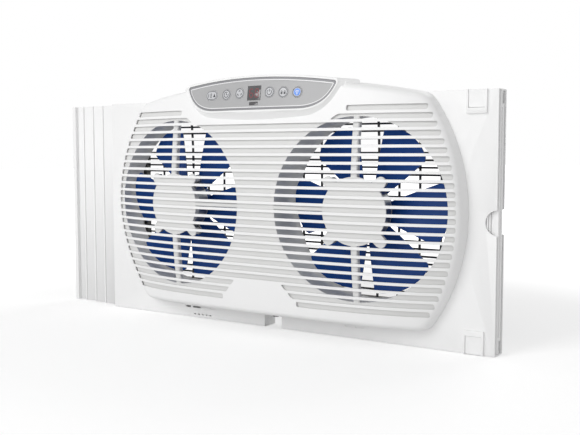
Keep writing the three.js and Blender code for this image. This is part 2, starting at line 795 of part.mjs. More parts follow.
// Orifice panel: the domed panel with its skirt, two rings, and in each a hub disc on three arms.
function fanBaffle() {
  const outer = domedBlock(baffleInset, baffleOffset, coverEdgeRounding - coverWall, -seatGap, 1);
  const inner = domedBlock(
    baffleInset + baffleWall,
    baffleOffset + baffleWall,
    2,
    -seatGap,
    1,
  );
  const trim = domedBlock(baffleInset + 1, baffleOffset + 0.9, 3, 30, 1);
  let panel = cut(outer, inner);
  for (const { x, inward } of fanSides) {
    const disc = rod(hubDiscRadius, -80, 0, x, motorZ);
    const lobes = lobePlaces(x).map(([lx, lz]) => {
      const end = rod(lobeRadius, -80, 0, lx, lz, smallRoundSteps + 4);
      return end.add(prism(webShape(x, lx, lz, lobeWeb / 2), -80, 0));
    });
    const kept = join(disc, ...lobes);
    const hole = rod(orificeRadius, -80, 10, x, fanCentreZ, orificeSteps);
    panel = cut(panel, cut(hole, kept));
    const ringOuter = orificeRadius + orificeWall;
    const ring = tube(orificeRadius, ringOuter, -80, orificeRearY, x, fanCentreZ, orificeSteps);
    const cupEnd = motorFrontY - seatGap;
    const cup = tube(hubCupRadius - baffleWall, hubCupRadius, -80, cupEnd, x, motorZ);
    const bosses = lobePlaces(x).map(([lx, lz]) => rod(lobeBossRadius, -80, cupEnd, lx, lz, smallRoundSteps));
    const motorRoom = rod(hubCupRadius + slideGap, cupEnd, 40, x, motorZ);
    const fittings = join(ring, cup, ...bosses, ...spokes(x, inward)).intersect(trim);
    panel = panel.add(cut(fittings, motorRoom));
    const holes = lobePlaces(x).map(([lx, lz]) => {
      const end = motorFrontY - motorScrewReach - seatGap;
      return rod(motorScrewRadius + seatGap, end, motorFrontY, lx, lz, smallRoundSteps);
    });
    panel = cut(panel, ...holes);
  }
  return panel;
}

// Two upright spokes and one deeper arm towards the middle of the fan.
function spokes(x, inward) {
  const reach = orificeRadius + orificeWall / 2;
  const start = hubCupRadius - 1;
  const arms = [-1, 1].map((up) => {
    const root0 = domeY(x, motorZ) + spokeOffset;
    const tip0 = domeY(x, fanCentreZ + up * reach) + spokeOffset;
    const profile = [
      [root0, motorZ + up * start],
      [root0 + spokeDepth, motorZ + up * start],
      [tip0 + spokeDepth, fanCentreZ + up * reach],
      [tip0, fanCentreZ + up * reach],
    ];
    return sideways(profile, x - spokeWidth / 2, x + spokeWidth / 2);
  });
  const x0 = x + inward * start;
  const x1 = x + inward * reach;
  const y0 = domeY(x0, motorZ) + armOffset;
  const y1 = domeY(x1, motorZ) + armOffset;
  const armPoints = [[x0, y0], [x0, y0 + armDepth], [x1, y1 + armDepth], [x1, y1]];
  const low = motorZ + armRaise - armHeight / 2;
  arms.push(column(armPoints, low, low + armHeight));
  return arms;
}

// Front half of the window frame: the flat front, the collar inside the cover, the slide lock
// guides and the bosses for the screws.
function frameFront() {
  const half = frameWidth / 2;
  const outline = prism(polygon(outlineRing(0.2)), 0, frameWall);
  const plate = join(box(-half, half, 0, frameWall, 0, frameHeight), outline);
  const opening = prism(polygon(outlineRing(openingInset)), -10, frameWall + 1);
  const openingBox = box(-half, half, -10, frameWall + 1, 0, openingTop);
  let frame = cut(plate, opening.intersect(openingBox));
  frame = join(frame, collar());
  const wallEnd = frameSplit - seatGap / 2;
  frame = join(
    frame,
    box(-half, half, frameWall - 0.5, wallEnd, 0, frameEdgeWall),
    box(-half, half, frameWall - 0.5, wallEnd, frameHeight - frameEdgeWall, frameHeight),
  );
  for (const [x, z] of frameScrewPlaces()) {
    const boss = rod(frameBossRadius, frameWall - 0.5, frameSplit + 2, x, z, smallRoundSteps);
    const hole = rod(frameScrewRadius + seatGap, frameWall, frameDepth, x, z, smallRoundSteps);
    frame = cut(frame.add(boss), hole);
  }
  frame = join(frame, ...cordGapWalls());
  frame = join(frame, ...lockGuides());
  frame = cut(frame, cordGap(), fingerNotch(), bushingHole(), ...releaseSlots());
  return frame;
}

function collar() {
  const outer = domedSleeve(collarInset);
  const inner = domedSleeve(collarInset + collarWall);
  return cut(outer, inner).intersect(box(-frameWidth, frameWidth, -collarHeight, 0.5, 0, 400));
}

// A leaning sleeve with the cover's outline round the frame's front face.
function domedSleeve(inset) {
  const depth = collarHeight + 2;
  const rear = outlineRing(inset);
  const front = outlineRing(inset + coverDraft * depth);
  const positions = [];
  const faces = [];
  const count = rear.length;
  rear.forEach(([x, z]) => positions.push(x, 2, z));
  front.forEach(([x, z]) => positions.push(x, 2 - depth - 2, z));
  for (let i = 0; i < count; i++) {
    const j = (i + 1) % count;
    faces.push(i, j, j + count, i, j + count, i + count);
  }
  const flat = rear.map(([x, z]) => new THREE.Vector2(x, z));
  for (const [a, b, c] of THREE.ShapeUtils.triangulateShape(flat, [])) {
    faces.push(a, c, b, a + count, b + count, c + count);
  }
  const geometry = new THREE.BufferGeometry();
  geometry.setAttribute("position", new THREE.Float32BufferAttribute(positions, 3));
  geometry.setIndex(faces);
  return solid(geometry);
}

function frameScrewPlaces() {
  const places = [];
  for (const across of [-1, 1]) {
    places.push([across * frameScrewX, frameScrewLowZ]);
    places.push([across * frameScrewX, frameScrewHighZ]);
    places.push([across * frameScrewInnerX, frameScrewLowZ]);
  }
  return places;
}

function cordGap() {
  return box(cordGapLeft, cordGapRight, -1, frameDepth + 1, -1, cordGapHeight);
}

function cordGapWalls() {
  const wallEnd = frameSplit - seatGap / 2;
  const left = cordGapLeft - cordGapWall;
  const right = cordGapRight + cordGapWall;
  return [box(left, right, frameWall - 0.5, wallEnd, 0, cordGapHeight + cordGapWall)];
}

const bushingX = (cordGapLeft + cordGapRight) / 2;
const bushingY = (frameWall + frameSplit) / 2;

// A round bar that stands upright.
function post(radius, z0, z1, x, y, steps) {
  const geometry = new THREE.CylinderGeometry(radius, radius, z1 - z0, steps);
  geometry.rotateX(Math.PI / 2);
  geometry.translate(x, y, (z0 + z1) / 2);
  return solid(geometry);
}

function bushingHole() {
  const top = cordGapHeight + cordGapWall + 1;
  return post(bushingRadius + seatGap, cordGapHeight - 1, top, bushingX, bushingY, smallRoundSteps);
}

function cordBushing() {
  const flangeLow = cordGapHeight - bushingFlange - seatGap;
  const flangeTop = cordGapHeight - seatGap;
  const neckTop = cordGapHeight + cordGapWall + bushingRise;
  const body = join(
    post(bushingFlangeRadius, flangeLow, flangeTop, bushingX, bushingY, smallRoundSteps),
    post(bushingRadius, flangeLow, neckTop, bushingX, bushingY, smallRoundSteps),
  );
  return cut(body, post(bushingBore, flangeLow - 1, neckTop + 1, bushingX, bushingY, smallRoundSteps));
}

function fingerNotch() {
  return rod(notchRadius, -1, frameDepth + 1, notchCentreX, notchCentreZ);
}

function releaseSlots() {
  const slots = [];
  for (const across of [-1, 1]) {
    for (const x of releaseSlotX) {
      const x0 = across * x - releaseSlotWidth / 2;
      const z0 = releaseSlotZ - releaseSlotHeight / 2;
      slots.push(box(x0, x0 + releaseSlotWidth, -1, releaseSlotDepth, z0, z0 + releaseSlotHeight));
    }
  }
  return slots;
}

// Raised U guides that the slide locks run in, open at the frame's top and bottom edge.
function lockGuides() {
  const x0 = lockCentreX - lockGuideWidth / 2;
  const x1 = lockCentreX + lockGuideWidth / 2;
  const topStart = frameHeight - lockGuideTopLength;
  const top = cut(
    box(x0, x1, -lockGuideProud, 0.5, topStart, frameHeight),
    box(x0 + lockGuideWall, x1 - lockGuideWall, -10, 0, topStart + lockGuideEnd, frameHeight + 1),
  );
  const bottomEnd = lockGuideBottomLength;
  const bottom = cut(
    box(x0, x1, -lockGuideProud, 0.5, 0, bottomEnd),
    box(x0 + lockGuideWall, x1 - lockGuideWall, -10, 0, -1, bottomEnd - lockGuideEnd),
  );
  return [top, bottom];
}

// A slide lock: a plate with grip ribs, in its guide.
function slideLock(z0, z1, ribsAt) {
  const half = lockGuideWidth / 2 - lockGuideWall - seatGap;
  const frontY = -seatGap - lockThickness;
  let lock = box(lockCentreX - half, lockCentreX + half, frontY, -seatGap, z0, z1);
  for (let i = 0; i < lockRibs; i++) {
    const z = ribsAt + (i - 1) * 3 * lockRibHeight;
    const rib = box(
      lockCentreX - half + 3,
      lockCentreX + half - 3,
      frontY - 0.8,
      frontY + 0.5,
      z,
      z + lockRibHeight,
    );
    lock = lock.add(rib);
  }
  return lock;
}

// Rear half of the window frame: the flat back with its opening, the guide rails for the leaves
// and the counterbored screw bosses.
function frameRear() {
  const half = frameWidth / 2;
  const wallStart = frameSplit + seatGap / 2;
  const backFront = frameDepth - frameWall;
  let frame = cut(
    box(-half, half, backFront, frameDepth, 0, frameHeight),
    box(
      -grilleHalfWidth + grilleBorder,
      grilleHalfWidth - grilleBorder,
      backFront - 1,
      frameDepth + 1,
      fanCentreZ - grilleHalfHeight + grilleBorder,
      fanCentreZ + grilleHalfHeight - grilleBorder,
    ),
  );
  frame = join(
    frame,
    box(-half, half, wallStart, backFront + 0.5, 0, frameEdgeWall),
    box(-half, half, wallStart, backFront + 0.5, frameHeight - frameEdgeWall, frameHeight),
  );
  const railY0 = leafRearY + slideGap;
  const railY1 = railY0 + guideRailThickness;
  for (const across of [-1, 1]) {
    const [x0, x1] = [leafInnerX, half].map((x) => across * x).sort((a, b) => a - b);
    const low = frameEdgeWall - 0.5;
    const high = frameHeight - frameEdgeWall + 0.5;
    frame = join(
      frame,
      box(x0, x1, railY0 + seatGap / 2, railY1, low, low + guideRailHeight),
      box(x0, x1, railY0 + seatGap / 2, railY1, high - guideRailHeight, high),
    );
  }
  const bossStart = frameSplit + 2 + seatGap;
  const seatY = bossStart + 2;
  const headRoom = frameScrewHeadRadius + slideGap;
  for (const [x, z] of frameScrewPlaces()) {
    const boss = rod(headRoom + frameRearBossWall, bossStart, backFront + 0.5, x, z, smallRoundSteps);
    const bore = rod(frameScrewRadius + seatGap, bossStart - 1, frameDepth, x, z, smallRoundSteps);
    const counterbore = rod(headRoom, seatY, frameDepth + 1, x, z, smallRoundSteps);
    frame = cut(frame.add(boss), bore, counterbore);
  }
  const gapLeft = cordGapLeft - cordGapWall;
  const gapRight = cordGapRight + cordGapWall;
  const gapBox = box(gapLeft, gapRight, wallStart, backFront + 0.5, 0, cordGapHeight + cordGapWall);
  return cut(frame.add(gapBox), cordGap(), fingerNotch());
}

function frameScrew(x, z) {
  const seatY = frameSplit + 2 + seatGap + 2;
  const headY = seatY + seatGap;
  const tip = headY - frameScrewLength;
  const profile = [
    [0, tip],
    [frameScrewRadius * 0.5, tip],
    [frameScrewRadius, tip + 1.5],
    [frameScrewRadius, headY],
    [frameScrewHeadRadius, headY],
    [frameScrewHeadRadius, headY + frameScrewHeadHeight],
    [0, headY + frameScrewHeadHeight],
  ];
  return turned(profile, x, z, 8);
}

// Rear grille: a flange behind the frame's rear wall, a collar through its opening, level bars
// that dome to the rear, and upright ribs.
function rearGrille() {
  const [z0, z1] = [fanCentreZ - grilleHalfHeight, fanCentreZ + grilleHalfHeight];
  const rim = grilleBorder + seatGap;
  const outerHalf = grilleHalfWidth - rim;
  const innerHalf = outerHalf - grilleCollarWall;
  const flange = box(-grilleHalfWidth, grilleHalfWidth, grilleFrontY, grilleFrontY + grilleFlange, z0, z1);
  const collarBox = box(-outerHalf, outerHalf, grilleFrontY, grilleRearY, z0 + rim, z1 - rim);
  const low = z0 + rim + grilleCollarWall;
  const high = z1 - rim - grilleCollarWall;
  const room = box(-innerHalf, innerHalf, grilleFrontY - 1, grilleRearY + 1, low, high);
  let grille = cut(flange.add(collarBox), room);
  const firstBarY = grilleFrontY + 1.6;
  const domeAt = (z) => firstBarY + grilleDome * (1 - ((z - fanCentreZ) / grilleHalfHeight) ** 4);
  const ribRows = 6;
  const front = [];
  const back = [];
  for (let i = 0; i <= ribRows; i++) {
    const z = low - 1 + ((high - low + 2) * i) / ribRows;
    front.push([domeAt(z) - 0.2, z]);
    back.push([domeAt(z) + grilleDepth, z]);
  }
  const ribProfile = [...front, ...back.reverse()];
  for (const ribX of grilleRibX) {
    for (const x of [-ribX, ribX]) {
      grille = grille.add(sideways(ribProfile, x - grilleRibWidth / 2, x + grilleRibWidth / 2));
    }
  }
  for (let i = 0; i < grilleBars; i++) {
    const z = fanCentreZ + (i - (grilleBars - 1) / 2) * grilleBarPitch;
    const y = domeAt(z) + 0.3;
    const half = innerHalf + 1;
    const [barLow, barHigh] = [z - grilleBarHeight / 2, z + grilleBarHeight / 2];
    grille = grille.add(box(-half, half, y, y + grilleDepth - 0.6, barLow, barHigh));
  }
  return grille;
}

// Grey console insert with its holes, windows and the posts for the circuit board.
function controlPanel() {
  const half = consoleTipHalfWidth + 8;
  const slab = consoleSlab(0, consoleThickness, half, consoleBottom - 20, consoleApex + 20);
  let panel = prism(consoleOutline(0), -80, 0, 5).intersect(slab);
  for (const [x, z] of boardPostPlaces()) {
    const top = consoleThickness - 0.5 + consoleBow * x * x;
    panel = panel.add(leanedPost(boardPostRadius, x, z, top, boardDepth - seatGap));
  }
  for (const { x, z } of roundControls) {
    const hole = discGeometry(controlRadius + seatGap, -5, 10, 14);
    panel = cut(panel, onConsole(hole, x, z));
  }
  const { x, z, width, height } = modeButton;
  panel = cut(panel, onConsole(pillGeometry(width + 2 * seatGap, height + 2 * seatGap, -5, 10), x, z));
  const displayHole = [displayWidth / 2 + seatGap, displayHeight / 2 + seatGap];
  const irHole = [irWidth / 2 + seatGap, irHeight / 2 + seatGap];
  return cut(
    panel,
    consoleWindow(...displayHole, displayCentreZ, -5, 10),
    consoleWindow(...irHole, irCentreZ, -5, 10),
  );
}

function boardPostPlaces() {
  const places = [];
  const high = boardBottom + boardHeight - boardPostInset;
  for (const x of [-boardPostX, boardPostX]) {
    places.push([x, boardBottom + boardPostInset]);
    places.push([x, high]);
  }
  return places;
}

function leanedPost(radius, x, z, depth0, depth1) {
  const y = consoleY(0, z);
  return rod(radius, y + depth0, y + depth1, x, z, 10);
}

function consoleWindow(halfWidth, halfHeight, centreZ, depth0, depth1) {
  return leanedBox(-halfWidth, halfWidth, depth0, depth1, centreZ - halfHeight, centreZ + halfHeight);
}

function roundButton({ x, z }) {
  const depthToBoard = boardDepth - consoleBow * x * x;
  const stemEnd = depthToBoard - controlTravel - seatGap - 0.4;
  const cap = discGeometry(controlRadius, -controlProud, controlDepth, 14);
  const stem = discGeometry(controlStemRadius, controlDepth - 0.5, stemEnd, 6);
  return join(onConsole(cap, x, z), onConsole(stem, x, z));
}

function pillButton({ x, z, width, height }) {
  const depthToBoard = boardDepth - consoleBow * x * x;
  const stemEnd = depthToBoard - controlTravel - seatGap - 0.4;
  const cap = pillGeometry(width, height, -controlProud, controlDepth);
  const stem = discGeometry(controlStemRadius, controlDepth - 0.5, stemEnd, 6);
  return join(onConsole(cap, x, z), onConsole(stem, x, z));
}

// Circuit board behind the console, with the display module between it and the window.
function controlBoard() {
  return leanedBox(
    -boardHalfWidth,
    boardHalfWidth,
    boardDepth,
    boardDepth + boardThickness,
    boardBottom,
    boardBottom + boardHeight,
  );
}

function displayModule() {
  const half = displayWidth / 2 - 1;
  const halfHeight = displayHeight / 2 - 1.5;
  return consoleWindow(half, halfHeight, displayCentreZ, windowThickness + seatGap, boardDepth - seatGap);
}

// Motor: a can with four ears, a stator, an armature on the shaft, two bearings, an end plate.
function motorCan(x) {
  const rear = motorFrontY + motorLength;
  const innerFront = motorFrontY + motorWall;
  const bossRadius = bearingRadius + seatGap;
  const profile = [
    [shaftRadius + seatGap, motorFrontY],
    [hubCupRadius, motorFrontY],
    [hubCupRadius, rear],
    [hubCupRadius - motorWall, rear],
    [hubCupRadius - motorWall, innerFront],
    [bossRadius + bearingBossWall, innerFront],
    [bossRadius + bearingBossWall, innerFront + bearingLength],
    [bossRadius, innerFront + bearingLength],
    [bossRadius, innerFront],
    [shaftRadius + seatGap, innerFront],
    [shaftRadius + seatGap, motorFrontY],
  ];
  let can = turned(profile, x, motorZ);
  const earEnd = motorFrontY + motorEarThickness;
  const inside = rod(hubCupRadius - motorWall / 2, motorFrontY - 1, earEnd + 1, x, motorZ);
  for (const [ex, ez] of lobePlaces(x)) {
    can = can.add(cut(motorEar(x, ex, ez, earEnd), inside));
    const hole = rod(motorScrewRadius + seatGap, motorFrontY - 1, earEnd + 1, ex, ez, smallRoundSteps);
    can = cut(can, hole);
  }
  return can;
}

// A straight-sided web from the motor's centre to a place beside it.
function webShape(x, endX, endZ, halfWidth) {
  const along = new THREE.Vector2(endX - x, endZ - motorZ).normalize();
  const side = new THREE.Vector2(-along.y, along.x).multiplyScalar(halfWidth);
  return polygon([
    [x + side.x, motorZ + side.y],
    [x - side.x, motorZ - side.y],
    [endX - side.x, endZ - side.y],
    [endX + side.x, endZ + side.y],
  ]);
}

// An ear: a round end joined to the can by a web.
function motorEar(x, earX, earZ, earEnd) {
  const web = prism(webShape(x, earX, earZ, motorEarRadius), motorFrontY, earEnd);
  return web.add(rod(motorEarRadius, motorFrontY, earEnd, earX, earZ, smallRoundSteps));
}

const bearingFront = motorFrontY + motorWall + seatGap;
const armatureFront = bearingFront + bearingLength + seatGap;
const motorRear = motorFrontY + motorLength;
const endPlateFront = motorRear + seatGap;
const rearBearingEnd = endPlateFront - seatGap;

function stator(x) {
  const outer = hubCupRadius - motorWall - seatGap;
  return tube(outer - statorRadialDepth, outer, armatureFront, armatureFront + armatureLength, x, motorZ);
}

function armature(x) {
  const outer = hubCupRadius - motorWall - seatGap - statorRadialDepth - airGap;
  const end = armatureFront + armatureLength;
  return tube(shaftRadius + seatGap, outer, armatureFront, end, x, motorZ, 16);
}

function bearing(x, y0) {
  const y1 = y0 + bearingLength - seatGap;
  return tube(shaftRadius + seatGap, bearingRadius, y0, y1, x, motorZ, 12);
}

function endPlate(x) {
  const bore = shaftRadius + seatGap;
  const boss = bearingRadius + seatGap;
  const rear = endPlateFront + endPlateThickness;
  const profile = [
    [bore, endPlateFront],
    [boss, endPlateFront],
    [boss, endPlateFront - bearingLength],
    [boss + bearingBossWall, endPlateFront - bearingLength],
    [boss + bearingBossWall, endPlateFront],
    [hubCupRadius, endPlateFront],
    [hubCupRadius, rear],
    [bore, rear],
    [bore, endPlateFront],
  ];
  return turned(profile, x, motorZ);
}

function motorScrew(x, z) {
  const headFront = motorFrontY + motorEarThickness + seatGap;
  const tip = motorFrontY - motorScrewReach;
  const profile = [
    [0, tip],
    [motorScrewRadius * 0.6, tip],
    [motorScrewRadius, tip + 1],
    [motorScrewRadius, headFront],
    [motorScrewHeadRadius, headFront],
    [motorScrewHeadRadius, headFront + motorScrewHeadHeight],
    [0, headFront + motorScrewHeadHeight],
  ];
  return turned(profile, x, z, 8);
}

const hubFront = endPlateFront + endPlateThickness + 1.7;
const hubRear = hubFront + rotorHubLength;
const hubMiddle = hubFront + rotorHubLength / 2 - bladeThickness / 2;

function motorShaft(x) {
  const front = motorFrontY + motorWall;
  return rod(shaftRadius, front, front + shaftLength, x, motorZ, 16);
}

// Fan rotor: a cup-shaped hub with a collar on the shaft, and twisted blades.
function fanRotor(x, turn) {
  const bore = shaftRadius + seatGap;
  const profile = [
    [bore, hubFront + 4],
    [rotorCollarRadius, hubFront + 4],
    [rotorCollarRadius, hubRear - rotorHubWall],
    [rotorHubRadius - rotorHubWall, hubRear - rotorHubWall],
    [rotorHubRadius - rotorHubWall, hubFront],
    [rotorHubRadius, hubFront],
    [rotorHubRadius, hubRear],
    [bore, hubRear],
    [bore, hubFront + 4],
  ];
  let rotor = turned(profile, x, motorZ, roundSteps);
  for (let i = 0; i < bladeCount; i++) {
    const angle = (i * 2 * Math.PI) / bladeCount + turn;
    rotor = rotor.add(blade(x, angle));
  }
  return rotor;
}

// One blade: a sheet over radius and angle whose leading edge lies ahead of its trailing edge.
function blade(x, angle) {
  const radialSteps = 3;
  const angleSteps = 4;
  const rootRadius = rotorHubRadius - rotorHubWall / 2;
  const positions = [];
  const faces = [];
  const rows = radialSteps + 1;
  const perFace = rows * (angleSteps + 1);
  for (const back of [0, 1]) {
    for (let i = 0; i <= radialSteps; i++) {
      const share = i / radialSteps;
      const radius = rootRadius + (bladeTipRadius - rootRadius) * share;
      const halfAngle = THREE.MathUtils.degToRad(
        bladeRootHalfAngle + (bladeTipHalfAngle - bladeRootHalfAngle) * share,
      );
      const pitch = bladeRootPitch + (bladeTipPitch - bladeRootPitch) * Math.sqrt(share);
      for (let j = 0; j <= angleSteps; j++) {
        const across = (2 * j) / angleSteps - 1;
        const tipCut = 1 - 0.05 * share * share * across * across;
        const theta = angle + halfAngle * across;
        const y = hubMiddle - bladeAhead + pitch * Math.sin((across * Math.PI) / 2.4) + back * bladeThickness;
        const r = radius * tipCut;
        positions.push(x + r * Math.cos(theta), y, motorZ + r * Math.sin(theta));
      }
    }
  }
  const at = (back, i, j) => back * perFace + i * (angleSteps + 1) + j;
  const quad = (a, b, c, d) => faces.push(a, b, c, a, c, d);
  for (let i = 0; i < radialSteps; i++) {
    for (let j = 0; j < angleSteps; j++) {
      quad(at(0, i, j), at(0, i + 1, j), at(0, i + 1, j + 1), at(0, i, j + 1));
      quad(at(1, i, j), at(1, i, j + 1), at(1, i + 1, j + 1), at(1, i + 1, j));
    }
    quad(at(0, i, 0), at(1, i, 0), at(1, i + 1, 0), at(0, i + 1, 0));
    const last = angleSteps;
    quad(at(0, i, last), at(0, i + 1, last), at(1, i + 1, last), at(1, i, last));
  }
  for (let j = 0; j < angleSteps; j++) {
    const tip = radialSteps;
    quad(at(0, 0, j), at(0, 0, j + 1), at(1, 0, j + 1), at(1, 0, j));
    quad(at(0, tip, j), at(1, tip, j), at(1, tip, j + 1), at(0, tip, j + 1));
  }
  const geometry = new THREE.BufferGeometry();
  geometry.setAttribute("position", new THREE.Float32BufferAttribute(positions, 3));
  geometry.setIndex(faces);
  return solid(geometry);
}

function fanNut(x) {
  const start = hubRear + seatGap;
  const hexagon = rod(nutRadius, start, start + nutHeight, x, motorZ, 6);
  return cut(hexagon, rod(shaftRadius + seatGap, start - 1, start + nutHeight + 1, x, motorZ, 16));
}

// A sliding leaf: a plate with a hem along its outer edge; the outermost has a grip cap.
function leaf(index, across, pulled) {
  const rear = leafRearY - index * leafPitch;
  const front = rear - leafThickness;
  const outer = leafOuterX[index];
  const isOutermost = index === 0;
  const hemX = outer - (isOutermost ? leafLipWidth : leafHemThickness);
  const hemY = isOutermost ? leafLipFrontY : front - leafHemProud;
  const profile = [
    [leafInnerX, front],
    [hemX, front],
    [hemX, hemY],
    [outer, hemY],
    [outer, rear],
    [leafInnerX, rear],
  ];
  const z0 = frameEdgeWall + seatGap;
  const z1 = frameHeight - frameEdgeWall - seatGap;
  const place = (points) => points.map(([x, y]) => [across * (x + pulled * leafRatios[index]), y]);
  let body = column(place(profile), z0, z1);
  if (!isOutermost) return body;
  const capInner = outer - endCapThickness;
  const mid = (hemY + endCapRearY) / 2;
  const cap = [
    [capInner, front],
    [outer, front],
    [outer, endCapRearY],
    [capInner, endCapRearY],
  ];
  const groove = [
    [outer - endCapGrooveDepth, mid - endCapGrooveWidth / 2],
    [outer + 1, mid - endCapGrooveWidth / 2],
    [outer + 1, mid + endCapGrooveWidth / 2],
    [outer - endCapGrooveDepth, mid + endCapGrooveWidth / 2],
  ];
  body = body.add(column(place(cap), endCapBottom, endCapTop));
  return cut(body, column(place(groove), endCapBottom + 4, endCapTop - 4));
}

// ---------------------------------------------------------------- assembly
addMesh(root, "frame_front", frameFront(), white);
addMesh(root, "frame_rear", frameRear(), white);
addMesh(root, "front_cover", frontCover(), white);
addMesh(root, "fan_baffle", fanBaffle(), paleGrey);
addMesh(root, "rear_grille", rearGrille(), darkGrille);
addMesh(root, "cord_bushing", cordBushing(), bushingBlack);
frameScrewPlaces().forEach(([x, z], i) => {
  addMesh(root, `frame_screw_${i + 1}`, frameScrew(x, z), zincSteel);
});

const console3d = new THREE.Group();
addMesh(console3d, "control_panel", controlPanel(), consoleGrey);
addMesh(console3d, "control_board", controlBoard(), boardGreen);
addMesh(console3d, "display_module", displayModule(), smoke);
const displayHalf = [displayWidth / 2, displayHeight / 2];
const irHalf = [irWidth / 2, irHeight / 2];
const displayPane = consoleWindow(...displayHalf, displayCentreZ, 0, windowThickness);
const irPane = consoleWindow(...irHalf, irCentreZ, 0, windowThickness);
addMesh(console3d, "display_window", displayPane, smoke);
addMesh(console3d, "ir_window", irPane, smoke);
for (const control of roundControls) {
  const material = control.name === "link_button" ? linkBlue : buttonGrey;
  addMesh(console3d, control.name, roundButton(control), material);
}
addMesh(console3d, modeButton.name, pillButton(modeButton), buttonGrey);
root.add(console3d);

for (const { side, x } of fanSides) {
  const fan = new THREE.Group();
  addMesh(fan, `${side}_motor_can`, motorCan(x), zincSteel);
  addMesh(fan, `${side}_stator`, stator(x), laminatedSteel);
  addMesh(fan, `${side}_motor_end_plate`, endPlate(x), zincSteel);
  addMesh(fan, `${side}_front_bearing`, bearing(x, bearingFront), shaftSteel);
  addMesh(fan, `${side}_rear_bearing`, bearing(x, rearBearingEnd - bearingLength + seatGap), shaftSteel);
  lobePlaces(x).forEach(([screwX, screwZ], i) => {
    addMesh(fan, `${side}_motor_screw_${i + 1}`, motorScrew(screwX, screwZ), zincSteel);
  });
  addMesh(fan, `${side}_armature`, armature(x), laminatedSteel);
  addMesh(fan, `${side}_shaft`, motorShaft(x), shaftSteel);
  const turn = THREE.MathUtils.degToRad(side === "left" ? -3 : -1);
  addMesh(fan, `${side}_rotor`, fanRotor(x, turn), bladeBlue);
  addMesh(fan, `${side}_fan_nut`, fanNut(x), zincSteel);
  root.add(fan);
}

const sideLeaves = [
  { side: "left", across: -1, pulled: leafLeftPulledOut },
  { side: "right", across: 1, pulled: 0 },
];
for (const { side, across, pulled } of sideLeaves) {
  leafOuterX.forEach((outer, i) => {
    addMesh(root, `${side}_leaf_${i + 1}`, leaf(i, across, pulled), white);
  });
}

const lockTopStart = frameHeight - lockGuideTopLength + lockGuideEnd + lockTravelRoom;
const lockBottomEnd = lockGuideBottomLength - lockGuideEnd - lockTravelRoom;
addMesh(root, "top_slide_lock", slideLock(lockTopStart, frameHeight - seatGap, lockTopStart + 9), white);
addMesh(root, "bottom_slide_lock", slideLock(seatGap, lockBottomEnd, lockBottomEnd - 11), white);

export default root;
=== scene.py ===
# Looks of the twin window fan. Lengths are written in millimetres and made metres where a mesh or
# a node tree is built. X is to the viewer's right, -Y to the front and Z up.
import contextlib
import math

import bmesh
import bpy
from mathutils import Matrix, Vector


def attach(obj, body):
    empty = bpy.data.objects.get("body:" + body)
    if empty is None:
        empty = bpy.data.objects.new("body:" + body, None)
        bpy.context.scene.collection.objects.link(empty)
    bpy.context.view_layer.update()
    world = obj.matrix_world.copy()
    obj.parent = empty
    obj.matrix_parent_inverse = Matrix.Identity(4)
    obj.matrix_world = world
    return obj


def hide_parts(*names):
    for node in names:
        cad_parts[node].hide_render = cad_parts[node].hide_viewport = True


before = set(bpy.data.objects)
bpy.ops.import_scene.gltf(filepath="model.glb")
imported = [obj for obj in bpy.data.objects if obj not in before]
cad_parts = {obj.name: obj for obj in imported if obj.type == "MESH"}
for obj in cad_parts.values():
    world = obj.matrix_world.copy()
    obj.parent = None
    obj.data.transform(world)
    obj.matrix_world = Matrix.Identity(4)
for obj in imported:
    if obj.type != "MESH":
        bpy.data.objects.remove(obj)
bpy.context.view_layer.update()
scene = bpy.context.scene
MM = 0.001

# ---------------------------------------------------------------- camera
camera_data = bpy.data.cameras.new("camera")
camera_data.sensor_width = 36.0
camera_data.lens = 53.87
camera = bpy.data.objects.new("camera", camera_data)
camera.location = (0.6559, -0.9579, 0.2406)
camera.rotation_euler = (math.radians(85.54), math.radians(0.08), math.radians(33.56))
scene.collection.objects.link(camera)
scene.camera = camera

# ---------------------------------------------------------------- sizes
HOUSING = "housing"
SIDES = (("left", -1), ("right", 1))
CORNERS = [(sx, sz) for sx in (-1, 1) for sz in (-1, 1)]
SEAT = 0.3  # room between fixed pieces
FRAME_HALF = 305.0
# the cover's outline, its dome and its slots
OUTLINE_BOTTOM = 22.0
OUTLINE_TOP = 308.0
OUTLINE_MIDDLE = 165.0
OUTLINE_CROWN = 23.9
OUTLINE_RADIUS = 237.0
OUTLINE_CENTRE_X = 34.0
OUTLINE_ALONG = 84  # points along the top and the bottom
OUTLINE_ROUND = 62  # points round each side
DOME_FRONT_Y = -54.4
DOME_MIDDLE_Z = 172.0
DOME_HALF_HEIGHT = 100.1
DOME_CENTRE_Z = OUTLINE_MIDDLE + 5
COVER_DRAFT = 0.09
SLOT_TOP = 273.95
SLOT_PITCH = 10.268
SLOT_HEIGHT = 6.8
SLOT_PIN_SIDES = 22
SLOT_CUTTER_Y = -50.0
SLOT_CUTTER_LENGTH = 90.0
DOME_STEPS = 40
# fans, motors and their seats
FAN_X = 142.4
FAN_Z = 167.7
MOTOR_Z = 166.0
ORIFICE_RADIUS = 113.3
RING_RADIUS = 113.9
HUB_RADIUS = 42.0
LOBE_RADIUS = 7.0
EAR_X, EAR_Z = 34.5, 35.7  # the motor's screws, from its axis
EAR_RADIUS = 5.4
CUP_RADIUS = 36.9
CUP_BORE = 35.2
CUP_BACK_Y = -36.3
ARM_ROOT_RADIUS = 36.4
ARM_STEPS = 12
FAN_MIDDLE_Y = -6.9
# rear grille
GRILLE_HALF = 260.0
GRILLE_HALF_HEIGHT = 121.5
GRILLE_RIB_HALF_HEIGHT = 115.6
GRILLE_BAR_Y = 21.8
GRILLE_DOME = 4.6
